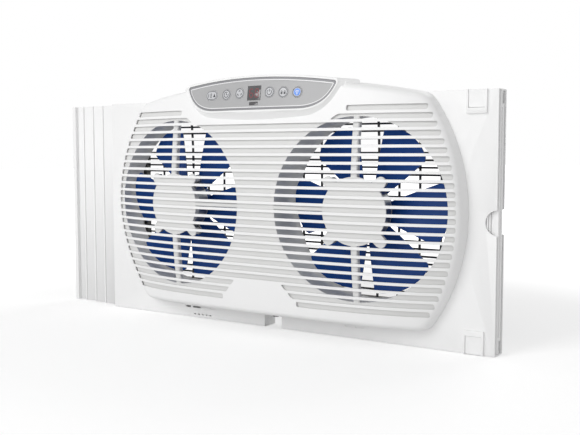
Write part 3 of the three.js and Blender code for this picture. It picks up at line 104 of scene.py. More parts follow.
# console
CONSOLE_BOTTOM = 292.0
CONSOLE_HEIGHT = 40.7
CONSOLE_HALF = 116.0
CONSOLE_LOW_HALF = 66.5
CONSOLE_FRONT_Y = -54.98
CONSOLE_CURVE = 6.6e-4  # how fast the console falls back to its tips
CONSOLE_SLOPE = 0.14
CONSOLE_MIDDLE_Z = 311.5
CONSOLE_ROW_Z = 312.35
DISPLAY_Z = 312.95
CONSOLE_STEPS = 14
BOARD_DEPTH = 8.2
CUTTER_REACH = (-5, 6)  # of a hole's cutter, before and behind the console's surface
MODE_X = -71
INK_BOTTOM = -0.3


# ---------------------------------------------------------------- node trees
class Value:
    """A node's output that can be added, multiplied and compared like a number."""

    def __init__(self, tree, socket):
        self.tree = tree
        self.socket = socket

    def out(self, key):
        """Another output of the same node."""
        return Value(self.tree, self.socket.node.outputs[key])

    def __add__(self, other):
        return self.tree.maths("ADD", self, other)

    def __sub__(self, other):
        return self.tree.maths("SUBTRACT", self, other)

    def __rsub__(self, other):
        return self.tree.maths("SUBTRACT", other, self)

    def __mul__(self, other):
        return self.tree.maths("MULTIPLY", self, other)

    def __truediv__(self, other):
        return self.tree.maths("DIVIDE", self, other)

    def __rtruediv__(self, other):
        return self.tree.maths("DIVIDE", other, self)

    def __gt__(self, other):
        return self.tree.maths("GREATER_THAN", self, other)

    def __lt__(self, other):
        return self.tree.maths("LESS_THAN", self, other)

    def __neg__(self):
        return self * -1.0

    __radd__ = __add__
    __rmul__ = __mul__


class Tree:
    """A node tree built node by node; a group's inputs are in given, by name."""

    def __init__(self, tree, inputs=(), outputs=()):
        self.tree = tree
        for label, kind, default in inputs:
            socket = tree.interface.new_socket(label, in_out="INPUT", socket_type="NodeSocket" + kind)
            if default is not None:
                socket.default_value = default
        for label, kind in outputs:
            tree.interface.new_socket(label, in_out="OUTPUT", socket_type="NodeSocket" + kind)
        if inputs:
            start = tree.nodes.new("NodeGroupInput")
            self.given = {label: Value(self, start.outputs[label]) for label, _, _ in inputs}
            self.end = tree.nodes.new("NodeGroupOutput")

    def plug(self, value, socket):
        """Links a value into a socket, or sets a plain number, vector or colour on it."""
        if isinstance(value, Value):
            self.tree.links.new(value.socket, socket)
        else:
            socket.default_value = value

    def node(self, kind, inputs=None, output=0, **settings):
        node = self.tree.nodes.new(kind)
        for key, value in settings.items():
            setattr(node, key, value)
        for key, value in (inputs or {}).items():
            self.plug(value, node.inputs[key])
        return Value(self, node.outputs[output]) if node.outputs else None

    def maths(self, operation, *values):
        return self.node("ShaderNodeMath", dict(enumerate(values)), operation=operation)

    def vector(self, x=0.0, y=0.0, z=0.0):
        return self.node("ShaderNodeCombineXYZ", {"X": x, "Y": y, "Z": z})

    def mix(self, factor, a, b):
        return self.node("ShaderNodeMix", {"Factor": factor, "A": a, "B": b})

    def mix_colour(self, factor, a, b):
        return self.node("ShaderNodeMix", {"Factor": factor, 6: a, 7: b}, 2, data_type="RGBA")

    def noise(self, vector, scale, detail, roughness=0.5):
        sizes = {"Vector": vector, "Scale": scale, "Detail": detail, "Roughness": roughness}
        return self.node("ShaderNodeTexNoise", sizes, "Fac")

    def seen_ray(self):
        """1 for what the camera sees, straight, in a reflection or through glass."""
        rays = self.node("ShaderNodeLightPath")
        bent = self.maths("MAXIMUM", rays.out("Is Glossy Ray"), rays.out("Is Transmission Ray"))
        return self.maths("MAXIMUM", rays.out("Is Camera Ray"), bent)

    def position(self):
        """The X, Y and Z of each point of the mesh."""
        split = self.node("ShaderNodeSeparateXYZ", {0: self.node("GeometryNodeInputPosition")})
        return [split.out(axis) for axis in "XYZ"]

    def row(self, count, start, offset):
        inputs = {"Count": count, "Start Location": start, "Offset": offset}
        return self.node("GeometryNodeMeshLine", inputs)

    def shifted(self, geometry, offset):
        return self.node("GeometryNodeSetPosition", {"Geometry": geometry, "Offset": offset})

    def transformed(self, geometry, **changes):
        return self.node("GeometryNodeTransform", {"Geometry": geometry, **changes})

    def swept(self, path, section):
        inputs = {"Curve": path, "Profile Curve": section, "Fill Caps": True}
        return self.node("GeometryNodeCurveToMesh", inputs)

    def line(self, start, end):
        return self.node("GeometryNodeCurvePrimitiveLine", {"Start": start, "End": end})

    def copies(self, points, piece, rotation=(0.0, 0.0, 0.0)):
        inputs = {"Points": points, "Instance": piece, "Rotation": rotation}
        return self.node("GeometryNodeInstanceOnPoints", inputs)

    def gathered(self, *parts):
        both = self.node("GeometryNodeJoinGeometry")
        for part in parts:
            self.tree.links.new(part.socket, both.socket.node.inputs[0])
        return both

    def less(self, body, cutter, solver):
        inputs = {"Mesh 1": body, "Mesh 2": cutter}
        return self.node("GeometryNodeMeshBoolean", inputs, operation="DIFFERENCE", solver=solver)

    def ended(self, geometry):
        """Ends a geometry tree with real meshes in the given finish."""
        real = self.node("GeometryNodeRealizeInstances", {0: geometry})
        inputs = {"Geometry": real, "Material": self.given["Finish"]}
        self.plug(self.node("GeometryNodeSetMaterial", inputs), self.end.inputs[0])
        return self.tree


def geometry_tree(name, inputs):
    return Tree(bpy.data.node_groups.new(name, "GeometryNodeTree"), inputs, [("Geometry", "Geometry")])


# ---------------------------------------------------------------- shader groups
def surface_tree(name, inputs):
    outputs = [("Colour", "Color"), ("Roughness", "Float"), ("Height", "Float")]
    return Tree(bpy.data.node_groups.new(name, "ShaderNodeTree"), inputs, outputs)


def moulded_surface_group():
    """Moulded plastic: slow mottling, fine spark-eroded grain and dust on what faces up."""
    t = surface_tree(
        "moulded_surface",
        [
            ("Colour", "Color", (0.8, 0.8, 0.8, 1.0)),
            ("Roughness", "Float", 0.45),
            ("Mottle", "Float", 0.03),
            ("Grain Size", "Float", 2600.0),
            ("Dust", "Float", 0.06),
        ],
    )
    place = t.node("ShaderNodeTexCoord")
    slow = t.noise(place.out("Object"), 9.0, 4.0, 0.6)
    grain = t.noise(place.out("Object"), t.given["Grain Size"], 2.0, 0.55)
    shade_of = 1.0 + (slow - 0.5) * t.given["Mottle"] * 2.0
    tinted = t.node("ShaderNodeVectorMath", {0: t.given["Colour"], "Scale": shade_of}, operation="SCALE")
    up = t.node("ShaderNodeSeparateXYZ", {0: place.out("Normal")}, "Z")
    film = t.maths("MAXIMUM", up - 0.55, 0.0) * 2.2 * slow
    dust = t.maths("MINIMUM", film * t.given["Dust"], 1.0)
    t.plug(t.mix_colour(dust, tinted, (0.48, 0.46, 0.42, 1.0)), t.end.inputs["Colour"])
    t.plug(t.given["Roughness"] + (grain - 0.5) * 0.16 + dust, t.end.inputs["Roughness"])
    t.plug(grain, t.end.inputs["Height"])
    return t.tree


def rolled_metal_group():
    """Metal: lines of drawing or turning along one direction, with a few dull patches."""
    t = surface_tree(
        "rolled_metal",
        [
            ("Colour", "Color", (0.5, 0.5, 0.5, 1.0)),
            ("Roughness", "Float", 0.35),
            ("Along", "Vector", (600.0, 5200.0, 600.0)),
            ("Stain", "Float", 0.2),
        ],
    )
    place = t.node("ShaderNodeTexCoord", output="Object")
    stretched = t.node("ShaderNodeVectorMath", {0: place, 1: t.given["Along"]}, operation="MULTIPLY")
    lines = t.noise(stretched, 1.0, 3.0)
    patches = t.noise(place, 130.0, 5.0)
    stain = t.maths("MAXIMUM", patches - 0.5, 0.0) * 4.0
    stain = t.maths("MINIMUM", stain * t.given["Stain"], 1.0)
    t.plug(t.mix_colour(stain, t.given["Colour"], (0.16, 0.15, 0.14, 1.0)), t.end.inputs["Colour"])
    t.plug(t.given["Roughness"] + stain * 0.3 + (lines - 0.5) * 0.2, t.end.inputs["Roughness"])
    t.plug(lines, t.end.inputs["Height"])
    return t.tree


MOULDED = moulded_surface_group()
ROLLED = rolled_metal_group()


def linear(code):
    """The linear colour of an sRGB hex code."""
    parts = [int(code[i : i + 2], 16) / 255 for i in (1, 3, 5)]
    return tuple(p / 12.92 if p <= 0.04045 else ((p + 0.055) / 1.055) ** 2.4 for p in parts) + (1.0,)


def empty_material(name):
    material = bpy.data.materials.new(name)
    material.use_nodes = True
    material.node_tree.nodes.clear()
    return material, Tree(material.node_tree)


def surfaced(name, group, values, bump, depth, shader):
    """A material whose colour, roughness and relief come from a shared shader group."""
    material, t = empty_material(name)
    surface = t.node("ShaderNodeGroup", values, node_tree=group)
    height = {"Strength": bump, "Distance": depth * MM, "Height": surface.out("Height")}
    relief = t.node("ShaderNodeBump", height)
    look = {"Base Color": surface.out("Colour"), "Roughness": surface.out("Roughness"), "Normal": relief}
    principled = t.node("ShaderNodeBsdfPrincipled", {**look, **shader})
    t.node("ShaderNodeOutputMaterial", {"Surface": principled})
    material.diffuse_color = values["Colour"]
    return material


def plastic(name, colour, roughness, mottle=0.03, grain=2600.0, dust=0.06, bump=0.25, **shader):
    values = {"Colour": linear(colour), "Roughness": roughness, "Mottle": mottle}
    values.update({"Grain Size": grain, "Dust": dust})
    return surfaced(name, MOULDED, values, bump, 0.06, shader)


def metal(name, colour, roughness, along, stain):
    values = {"Colour": linear(colour), "Roughness": roughness, "Along": along, "Stain": stain}
    return surfaced(name, ROLLED, values, 0.2, 0.05, {"Metallic": 1.0})


def circuit_board_material():
    """Green lacquer over copper tracks."""
    material = plastic("circuit_board", "#2f6b3c", 0.4, mottle=0.08, **{"Coat Weight": 0.4})
    t = Tree(material.node_tree)
    nodes = material.node_tree.nodes
    bricks = {
        "Vector": t.node("ShaderNodeTexCoord", output="Object"),
        "Color1": (0.04, 0.2, 0.07, 1.0),
        "Color2": (0.03, 0.15, 0.05, 1.0),
        "Mortar": (0.1, 0.34, 0.12, 1.0),
        "Scale": 160.0,
        "Mortar Size": 0.05,
    }
    tracks = t.node("ShaderNodeTexBrick", bricks)
    lacquer = Value(t, nodes["Group"].outputs["Colour"])
    t.plug(t.mix_colour(0.6, lacquer, tracks), nodes["Principled BSDF"].inputs["Base Color"])
    return material


def laminated_material():
    """Varnished sheet steel, stacked along the motor's axis."""
    material = metal("laminated_steel", "#6f7276", 0.5, (300.0, 300.0, 300.0), 0.3)
    t = Tree(material.node_tree)
    relief = material.node_tree.nodes["Bump"]
    waves = {"Vector": t.node("ShaderNodeTexCoord", output="Object"), "Scale": 320.0, "Distortion": 0.2}
    t.plug(t.node("ShaderNodeTexWave", waves, "Fac", bands_direction="Y"), relief.inputs["Height"])
    relief.inputs["Strength"].default_value = 0.6
    return material


FINISH = {
    "white_plastic": plastic("white_plastic", "#f2f2f2", 0.42, mottle=0.012),
    "pale_plastic": plastic("pale_plastic", "#dededd", 0.5, mottle=0.02, dust=0.12),
    # Dark plastic for the display module, and painted shade on the rear grille: its bars and ribs are near
    # black to stand in for the shade they lie in behind the fans.
    "dark_plastic": plastic("dark_plastic", "#333437", 0.5, mottle=0.06, dust=0.3),
    "blade_blue": plastic(
        "blade_blue", "#0e4086", 0.42, 0.04,
        grain=1500.0, dust=0.02, bump=0.12, **{"Specular IOR Level": 0.2},
    ),
    "console_plastic": plastic("console_plastic", "#acacad", 0.38, mottle=0.03, grain=3400.0),
    "console_rim": plastic("console_rim", "#8c8c8f", 0.36, mottle=0.03, grain=3400.0),
    "console_line": plastic("console_line", "#e9e9ea", 0.35),
    "button_plastic": plastic("button_plastic", "#c6c7ca", 0.36, mottle=0.02, grain=3400.0),
    "blue_button": plastic("blue_button", "#3f80dc", 0.3, mottle=0.03, **{"Coat Weight": 0.3}),
    "ink": plastic("ink", "#4b4c50", 0.5),
    "white_ink": plastic("white_ink", "#eef2fa", 0.5),
    "smoke_window": plastic(
        "smoke_window", "#4a494b", 0.12, mottle=0.02, bump=0.03, **{"Coat Weight": 0.5}
    ),
    "circuit_board": circuit_board_material(),
    "black_rubber": plastic("black_rubber", "#1f1f21", 0.7, mottle=0.08, grain=900.0, bump=0.5),
    "zinc_steel": metal("zinc_steel", "#9da0a4", 0.38, (900.0, 900.0, 900.0), 0.35),
    "laminated_steel": laminated_material(),
    "shaft_steel": metal("shaft_steel", "#b4b7bb", 0.24, (200.0, 6000.0, 200.0), 0.1),
    "lit_digit": plastic(
        "lit_digit", "#74252c", 0.4, **{"Emission Color": linear("#e0444c"), "Emission Strength": 0.04}
    ),
}


# ---------------------------------------------------------------- meshes
@contextlib.contextmanager
def worked_into(target, *sources):
    """Source meshes together, open for edits, and written into the target mesh at the end."""
    work = bmesh.new()
    for source in sources:
        work.from_mesh(source)
    yield work
    work.to_mesh(target)
    work.free()


class Shape:
    """Points in millimetres and faces with a finish each, gathered into one mesh."""

    def __init__(self):
        self.points = []
        self.faces = []
        self.finishes = []

    def rings(self, rings, finish=0, closed=False, caps=True, ring_finish=None):
        """Rings of equal count, run one to the next; capped at both ends, or closed on themselves."""
        count = len(rings[0])
        start = len(self.points)
        for ring in rings:
            self.points += [tuple(p) for p in ring]
        pairs = len(rings) if closed else len(rings) - 1
        for r in range(pairs):
            after = (r + 1) % len(rings)
            for i in range(count):
                j = (i + 1) % count
                quad = [r * count + i, r * count + j, after * count + j, after * count + i]
                self.faces.append([start + k for k in quad])
                self.finishes.append(ring_finish[r] if ring_finish else finish)
        if not closed and caps:
            for r in (0, len(rings) - 1):
                self.faces.append([start + r * count + i for i in range(count)])
                self.finishes.append(ring_finish[min(r, pairs - 1)] if ring_finish else finish)
        return self

    def box(self, low, high):
        (x0, y0, z0), (x1, y1, z1) = low, high
        return self.rings([[(x, y0, z0), (x, y1, z0), (x, y1, z1), (x, y0, z1)] for x in (x0, x1)])

    def mesh(self, name, angle=32.0):
        made = bpy.data.meshes.new(name)
        made.from_pydata([Vector(p) * MM for p in self.points], [], self.faces)
        made.polygons.foreach_set("material_index", self.finishes)
        with worked_into(made, made) as work:
            bmesh.ops.remove_doubles(work, verts=work.verts, dist=2e-6)
            bmesh.ops.dissolve_degenerate(work, edges=work.edges, dist=1e-6)
            bmesh.ops.recalc_face_normals(work, faces=work.faces)
        return shaded(made, angle)


def shaded(mesh, angle):
    mesh.shade_smooth()
    mesh.set_sharp_from_angle(angle=math.radians(angle))
    return mesh


def finished(name, mesh, finishes, body, slot, *nodes):
    """A mesh as a piece of the object, riding on its body in place of CAD nodes."""
    if len(mesh.materials):
        mesh.materials.clear()
    for finish in finishes:
        mesh.materials.append(FINISH[finish])
    piece = bpy.data.objects.new(name, mesh)
    scene.collection.objects.link(piece)
    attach(piece, body)
    if nodes:
        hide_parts(*nodes)


def dressed(node, mesh, finish, body=HOUSING):
    """A mesh in one finish that takes the place of one CAD node."""
    finished(node + "_dressed", mesh, [finish], body, finish, node)


def grown(name, start, changes):
    """A mesh after a list of modifiers: (kind, settings, values of a node tree's named inputs)."""
    holder = bpy.data.objects.new(name, start)
    scene.collection.objects.link(holder)
    for kind, settings, values in changes:
        modifier = holder.modifiers.new(kind, kind)
        for key, value in settings.items():
            setattr(modifier, key, value)
        if kind == "NODES":
            items = modifier.node_group.interface.items_tree
            sockets = {item.name: item.identifier for item in items if item.in_out == "INPUT"}
            for label, value in values.items():
                modifier[sockets[label]] = value
    graph = bpy.context.evaluated_depsgraph_get()
    mesh = bpy.data.meshes.new_from_object(holder.evaluated_get(graph), depsgraph=graph)
    mesh.name = name
    bpy.data.objects.remove(holder)
    return mesh


def grown_by(name, start, group, values):
    return grown(name, start, [("NODES", {"node_group": group}, values)])


def cut_by(name, start, cutter_meshes):
    """A mesh with other meshes taken out of it."""
    cutters = []
    for i, mesh in enumerate(cutter_meshes):
        cutters.append(bpy.data.objects.new(f"{name}_cutter_{i}", mesh))
        scene.collection.objects.link(cutters[-1])
    settings = {"operation": "DIFFERENCE", "solver": "MANIFOLD"}
    mesh = grown(name, start, [("BOOLEAN", {**settings, "object": cutter}, {}) for cutter in cutters])
    for cutter in cutters:
        bpy.data.objects.remove(cutter)
    return mesh


def joined(name, *meshes):
    made = bpy.data.meshes.new(name)
    with worked_into(made, *meshes):
        pass
    return made


def outward(mesh):
    """A mesh of closed shells with every face turned outwards."""
    with worked_into(mesh, mesh) as work:
        bmesh.ops.recalc_face_normals(work, faces=work.faces)
    return mesh


def circle(x, y, z, radius, count=64):
    """A ring of points round an axis along Y."""
    turns = [2 * math.pi * i / count for i in range(count)]
    return [(x + radius * math.cos(t), y, z + radius * math.sin(t)) for t in turns]


def turned(profile, x, z, count, closed=False, shape=None):
    """A profile of (radius, y) turned round an axis along Y."""
    return (shape or Shape()).rings([circle(x, y, z, r, count) for r, y in profile], closed=closed)


def softened(node, body, slot, hollows=()):
    """A CAD node's own shape with small hollows sunk in it and its edges rounded."""
    start = bpy.data.meshes.new(node + "_start")
    with worked_into(start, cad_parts[node].data) as work:
        bmesh.ops.remove_doubles(work, verts=work.verts, dist=1e-6)
    if hollows:
        cutter = Shape()
        for low, high in hollows:
            cutter.box(low, high)
        start = cut_by(node + "_cut", start, [cutter.mesh("hollows")])
    start.shade_smooth()
    settings = {"width": 0.3 * MM, "segments": 2, "limit_method": "ANGLE", "angle_limit": math.radians(40)}
    mesh = grown(node + "_soft", start, [("BEVEL", {**settings, "harden_normals": True}, {})])
    finished(node + "_soft", mesh, [slot], body, slot, node)


# ---------------------------------------------------------------- domed housing shapes
def dome_y(x, z):
    """The front of the cover's dome at a place."""
    t = (x / FRAME_HALF) ** 2
    up = ((z - DOME_MIDDLE_Z) / DOME_HALF_HEIGHT) ** 2
    return DOME_FRONT_Y + 10.54 * t + 37.05 * t * t + up * (5.8 + 15.8 * t * t)


def on_dome(ring, behind):
    """A ring of points laid on the dome, some way behind its front."""
    return [(p[0], dome_y(p[0], p[-1]) + behind, p[-1]) for p in ring]


def blended(ring):
    """A ring with its corners rounded by averaging each point with its neighbours."""
    count = len(ring)
    weights = (1, 2, 3, 2, 1)
    smooth = []
    for i in range(count):
        near = [ring[(i + k - 2) % count] for k in range(5)]
        smooth.append(tuple(sum(w * p[a] for w, p in zip(weights, near)) / 9 for a in range(2)))
    return smooth


def outline(inset):
    """The cover's outline drawn in by an inset, as (x, z) points from the left bottom corner."""
    radius = OUTLINE_RADIUS - inset
    low = OUTLINE_BOTTOM + inset
    high = OUTLINE_TOP - inset
    corner = math.asin((OUTLINE_MIDDLE - low) / radius)
    top = math.asin((high - OUTLINE_MIDDLE) / radius)
    corner_x = OUTLINE_CENTRE_X + radius * math.cos(corner)
    ring = [(-corner_x + 2 * corner_x * i / OUTLINE_ALONG, low) for i in range(OUTLINE_ALONG)]
    for i in range(OUTLINE_ROUND):
        turn = -corner + (corner + top) * i / OUTLINE_ROUND
        ring.append((OUTLINE_CENTRE_X + radius * math.cos(turn), OUTLINE_MIDDLE + radius * math.sin(turn)))
    for i in range(OUTLINE_ALONG):
        x = corner_x - 2 * corner_x * i / OUTLINE_ALONG
        ring.append((x, high + OUTLINE_CROWN * (1 - (x / corner_x) ** 2)))
    for i in range(OUTLINE_ROUND):
        turn = top - (corner + top) * i / OUTLINE_ROUND
        ring.append((-OUTLINE_CENTRE_X - radius * math.cos(turn), OUTLINE_MIDDLE + radius * math.sin(turn)))
    return blended(ring)


def dome_rings(inset, offset, rounding, back_y, steps=6):
    """Rings of a domed block: its back edge, the leaning wall, the rounded edge and the dome."""
    base = outline(inset)
    rings = [[(x, back_y, z) for x, z in base]]
    for step in range(steps + 1):
        angle = math.pi / 2 * step / steps
        reach = rounding * (1 - math.cos(angle))
        behind = offset + rounding * (1 - math.sin(angle))
        points = base
        for _ in range(2):
            wanted = [inset + COVER_DRAFT * (back_y - dome_y(x, z) - behind) + reach for x, z in points]
            points = drawn_in(wanted)
        rings.append(on_dome(points, behind))
    edge = rings[-1]
    for step in range(1, DOME_STEPS):
        share = 1 - step / DOME_STEPS
        ring = [(x * share, DOME_CENTRE_Z + (z - DOME_CENTRE_Z) * share) for x, _, z in edge]
        rings.append(on_dome(ring, offset))
    rings.append(on_dome([(0.0, DOME_CENTRE_Z)] * len(base), offset))
    return rings


INSET_CACHE = {}


def drawn_in(wanted):
    """Each point of the outline, drawn in by its own amount."""
    points = []
    for i, own in enumerate(wanted):
        low = math.floor(own * 2) / 2
        rings = []
        for level in (low, low + 0.5):
            if level not in INSET_CACHE:
                INSET_CACHE[level] = outline(level)
            rings.append(INSET_CACHE[level][i])
        share = (own - low) * 2
        points.append(tuple(a + (b - a) * share for a, b in zip(*rings)))
    return points


def domed_shell(outer, inner):
    """A shell between two domed blocks, open at the back."""
    return Shape().rings(dome_rings(*inner)[::-1] + dome_rings(*outer), caps=False)


def slot_rows_tree():
    """Rows of round-ended cutters between the side arcs and a blank place with leaning sides."""
    t = geometry_tree(
        "slot_rows",
        [
            ("Rows", "Int", 20),
            ("First Row Height", "Float", SLOT_TOP * MM),
            ("Pitch", "Float", SLOT_PITCH * MM),
            ("Slot Height", "Float", SLOT_HEIGHT * MM),
            ("Corner Radius", "Float", 2.3 * MM),
            ("Side Centre", "Float", 36.5 * MM),
            ("Side Radius", "Float", 228.9 * MM),
            ("Blank Half Width", "Float", 0.0),
            ("Blank Slope", "Float", 0.0),
            ("Square Row", "Float", 0.0),
            ("Side", "Float", 0.0),
        ],
    )
    given = t.given
    half_height = given["Slot Height"] * 0.5
    radius = given["Corner Radius"]
    first_middle = given["First Row Height"] - half_height
    top_row = t.vector(0.0, SLOT_CUTTER_Y * MM, first_middle)
    rows = t.row(given["Rows"], top_row, t.vector(z=-given["Pitch"]))
    sizes = {"Vertices": SLOT_PIN_SIDES, "Radius": radius, "Depth": SLOT_CUTTER_LENGTH * MM}
    pin = t.node("GeometryNodeMeshCylinder", sizes, fill_type="NGON")
    laid = t.transformed(pin, Rotation=(math.pi / 2, 0.0, 0.0))
    solid = t.node("GeometryNodeRealizeInstances", {0: t.copies(rows, laid)})
    x, y, z = t.position()
    row = t.maths("FLOOR", (t.node("GeometryNodeInputIndex") + 0.5) / (2.0 * SLOT_PIN_SIDES))
    middle = first_middle - row * given["Pitch"]
    rise = middle - OUTLINE_MIDDLE * MM
    chord = t.maths("SQRT", given["Side Radius"] * given["Side Radius"] - rise * rise)
    far = given["Side Centre"] + chord - radius
    rest = z - middle
    is_off_middle = t.maths("ABSOLUTE", rest) > 0.01 * MM
    stretch = t.maths("SIGN", rest) * (half_height - radius) * is_off_middle
    is_leaning = t.maths("ABSOLUTE", row - given["Square Row"]) > 0.5
    lean = given["Blank Slope"] / given["Pitch"] * is_leaning
    near = given["Blank Half Width"] + row * given["Blank Slope"] + radius - lean * (rest + stretch)
    right_end = t.mix(given["Side"] < -0.5, far, -near)
    left_end = t.mix(given["Side"] > 0.5, -far, near)
    end = t.mix(x > 0.0, left_end, right_end)
    inputs = {"Geometry": solid, "Position": t.vector(x + end, y, z + stretch)}
    t.plug(t.node("GeometryNodeSetPosition", inputs), t.end.inputs["Geometry"])
    return t.tree


def slotted_cover_tree():
    """The cover's shell with its rows of slots cut out."""
    t = geometry_tree("slotted_cover", [("Shell", "Geometry", None), ("Finish", "Material", None)])
    rows = slot_rows_tree()
    labels = ("Rows", "First Row Height", "Blank Half Width", "Blank Slope", "Square Row")
    above = (2, (SLOT_TOP + 2 * SLOT_PITCH) * MM, 129.5 * MM, -16.0 * MM, 0.0)
    below = (3, (SLOT_TOP - 20 * SLOT_PITCH) * MM, 40 * MM, 9.3 * MM, 2.0)
    blanks = [dict(zip(labels, values)) for values in (above, below)]
    sets = [{}] + [{**values, "Side": side} for values in blanks for side in (-1.0, 1.0)]
    cutters = t.gathered(*[t.node("GeometryNodeGroup", values, node_tree=rows) for values in sets])
    return t.ended(t.less(t.given["Shell"], cutters, "MANIFOLD"))


# ---------------------------------------------------------------- console shapes
def console_y(x, z):
    return -55 + CONSOLE_SLOPE * (z - CONSOLE_BOTTOM) + CONSOLE_CURVE * x * x


def bezier(points, count):
    """Points along a curve of any degree, without its last one."""
    made = []
    for i in range(count):
        t = i / count
        work = list(points)
        while len(work) > 1:
            work = [tuple(a + (b - a) * t for a, b in zip(p, q)) for p, q in zip(work, work[1:])]
        made.append(work[0])
    return made


def console_outline(grow, top=None, bottom=None):
    """The console insert's outline, let out at the sides, the top and the bottom, as (x, z)."""
    top = grow if top is None else top
    bottom = grow if bottom is None else bottom
    tip = CONSOLE_HALF + grow
    low = CONSOLE_BOTTOM - bottom
    half = CONSOLE_LOW_HALF + grow * 0.5
    tip_z = CONSOLE_BOTTOM + 0.7 * CONSOLE_HEIGHT
    end = tip_z + 0.113 * CONSOLE_HEIGHT + top
    crown = 2 * (CONSOLE_BOTTOM + CONSOLE_HEIGHT + top) - end
    bend = 0.3 * (tip - half)
    fall = 0.34 * CONSOLE_HEIGHT
    inner = tip - 0.043 * CONSOLE_HALF
    flank = [(half, low), (tip - 1.3 * bend, low), (tip - 0.5 * bend, tip_z - fall), (tip - 1, tip_z)]
    point = [(tip - 1, tip_z), (tip + 1, end - 0.6), (inner, end)]
    ring = bezier([(-half, low), (half, low)], 30) + bezier(flank, 24) + bezier(point, 7)
    ring += bezier([(inner, end), (0, crown), (-inner, end)], 50)
    for side, count in ((point, 7), (flank, 24)):
        ring += bezier([(-x, z) for x, z in side[::-1]], count)
    return ring


def console_ring(grow, depth, top=None, bottom=None):
    """The insert's outline on the console's surface, never in front of the insert's own lower edge."""
    ring = console_outline(grow, top, bottom)
    return [(x, max(console_y(x, z) + depth, CONSOLE_FRONT_Y), z) for x, z in ring]


def console_place(x, z):
    """A function that lays rings of (across, up) points square on the console, at a depth."""
    inward = Vector((-2 * CONSOLE_CURVE * x, 1, -CONSOLE_SLOPE)).normalized()
    turn = Vector((0, 1, 0)).rotation_difference(inward)
    base = Vector((x, console_y(x, z), z))
    return lambda ring, depth: [tuple(base + turn @ Vector((p[0], depth, p[-1]))) for p in ring]


def disc(radius, count):
    return circle(0, 0, 0, radius, count)


# ---------------------------------------------------------------- front cover
def front_cover():
    shell = domed_shell((0.0, 0.0, 6.0, -SEAT), (2.0, 2.0, 4.0, -SEAT))
    cavity = Shape().rings([[(x, y, z) for x, z in console_outline(-4.1)] for y in (-70.0, -26.0)])
    seat_room = Shape().rings([console_ring(0.3, depth) for depth in (-14.0, 2.3)])
    cutters = [cavity.mesh("cavity"), seat_room.mesh("seat_room")]
    opened = cut_by("front_cover_opened", shell.mesh("front_cover_shell"), cutters)
    finish = {"Finish": FINISH["white_plastic"]}
    slotted = grown_by("front_cover_slotted", opened, slotted_cover_tree(), finish)
    rings = [
        console_ring(0.3, 2.3),
        console_ring(0.3, -0.5),
        console_ring(0.6, -0.8),
        console_ring(1.6, -0.8, 2.0, 1.6),
        console_ring(2.4, -0.6, 2.6, 2.4),
        console_ring(3.0, 0.3, 3.0, 3.0),
        console_ring(5.0, 1.9, 2.8, 4.6),
        console_ring(9.0, 4.9, 2.4, 7.8),
        console_ring(14.0, 8.3, 2.1, 11.8),
        console_ring(19.0, 11.6, 1.7, 15.8),
        console_ring(23.0, 14.2, 1.4, 19.0),
        on_dome(console_outline(10.0, 1.0, 8.0), 1.9),
        on_dome(console_outline(-4.0), 1.9),
        console_ring(-4.0, 2.3),
    ]
    mesh = joined("front_cover_dressed", slotted, Shape().rings(rings, closed=True).mesh("lobe"))
    dressed("front_cover", shaded(mesh, 34.0), "white_plastic")


# ---------------------------------------------------------------- fan baffle
def hub_outline(x):
    """The hub disc with its four lobes, as (x, z) points round the motor's axis."""
    ring = []
    lobe_distance = math.hypot(EAR_X, EAR_Z)
    for i in range(180):
        turn = 2 * math.pi * i / 180
        reach = HUB_RADIUS
        for sx, sz in CORNERS:
            apart = turn - math.atan2(sz * EAR_Z, sx * EAR_X)
            apart = math.atan2(math.sin(apart), math.cos(apart))
            beside = lobe_distance * math.sin(abs(apart))
            if abs(apart) < 1 and beside < LOBE_RADIUS:
                along = math.sqrt(LOBE_RADIUS**2 - beside * beside)
                reach = max(reach, lobe_distance * math.cos(apart) + along)
        ring.append((x + reach * math.cos(turn), MOTOR_Z + reach * math.sin(turn)))
    return ring


def orifice_cutter(x):
    """What an orifice takes out of the panel: a disc with the hub and its lobes left in."""
    hub = hub_outline(x)
    outer = []
    for hx, hz in hub:
        turn = math.atan2(hz - FAN_Z, hx - x)
        outer.append((x + ORIFICE_RADIUS * math.cos(turn), FAN_Z + ORIFICE_RADIUS * math.sin(turn)))
    levels = ((hub, -70), (outer, -70), (outer, 6), (hub, 6))
    rings = [[(px, y, pz) for px, pz in ring] for ring, y in levels]
    return Shape().rings(rings, closed=True).mesh("orifice_cutter")


def arm_section(middle, half, y, depth, place):
    """A round-cornered section across an arm, from its front at y to its back."""
    r = 1.2
    a0, a1 = middle - half, middle + half
    corners = [(a0 + r, y), (a1 - r, y), (a1, y + r), (a1, y + depth - r)]
    corners += [(a1 - r, y + depth), (a0 + r, y + depth), (a0, y + depth - r), (a0, y + r)]
    return [place(a, b) for a, b in corners]


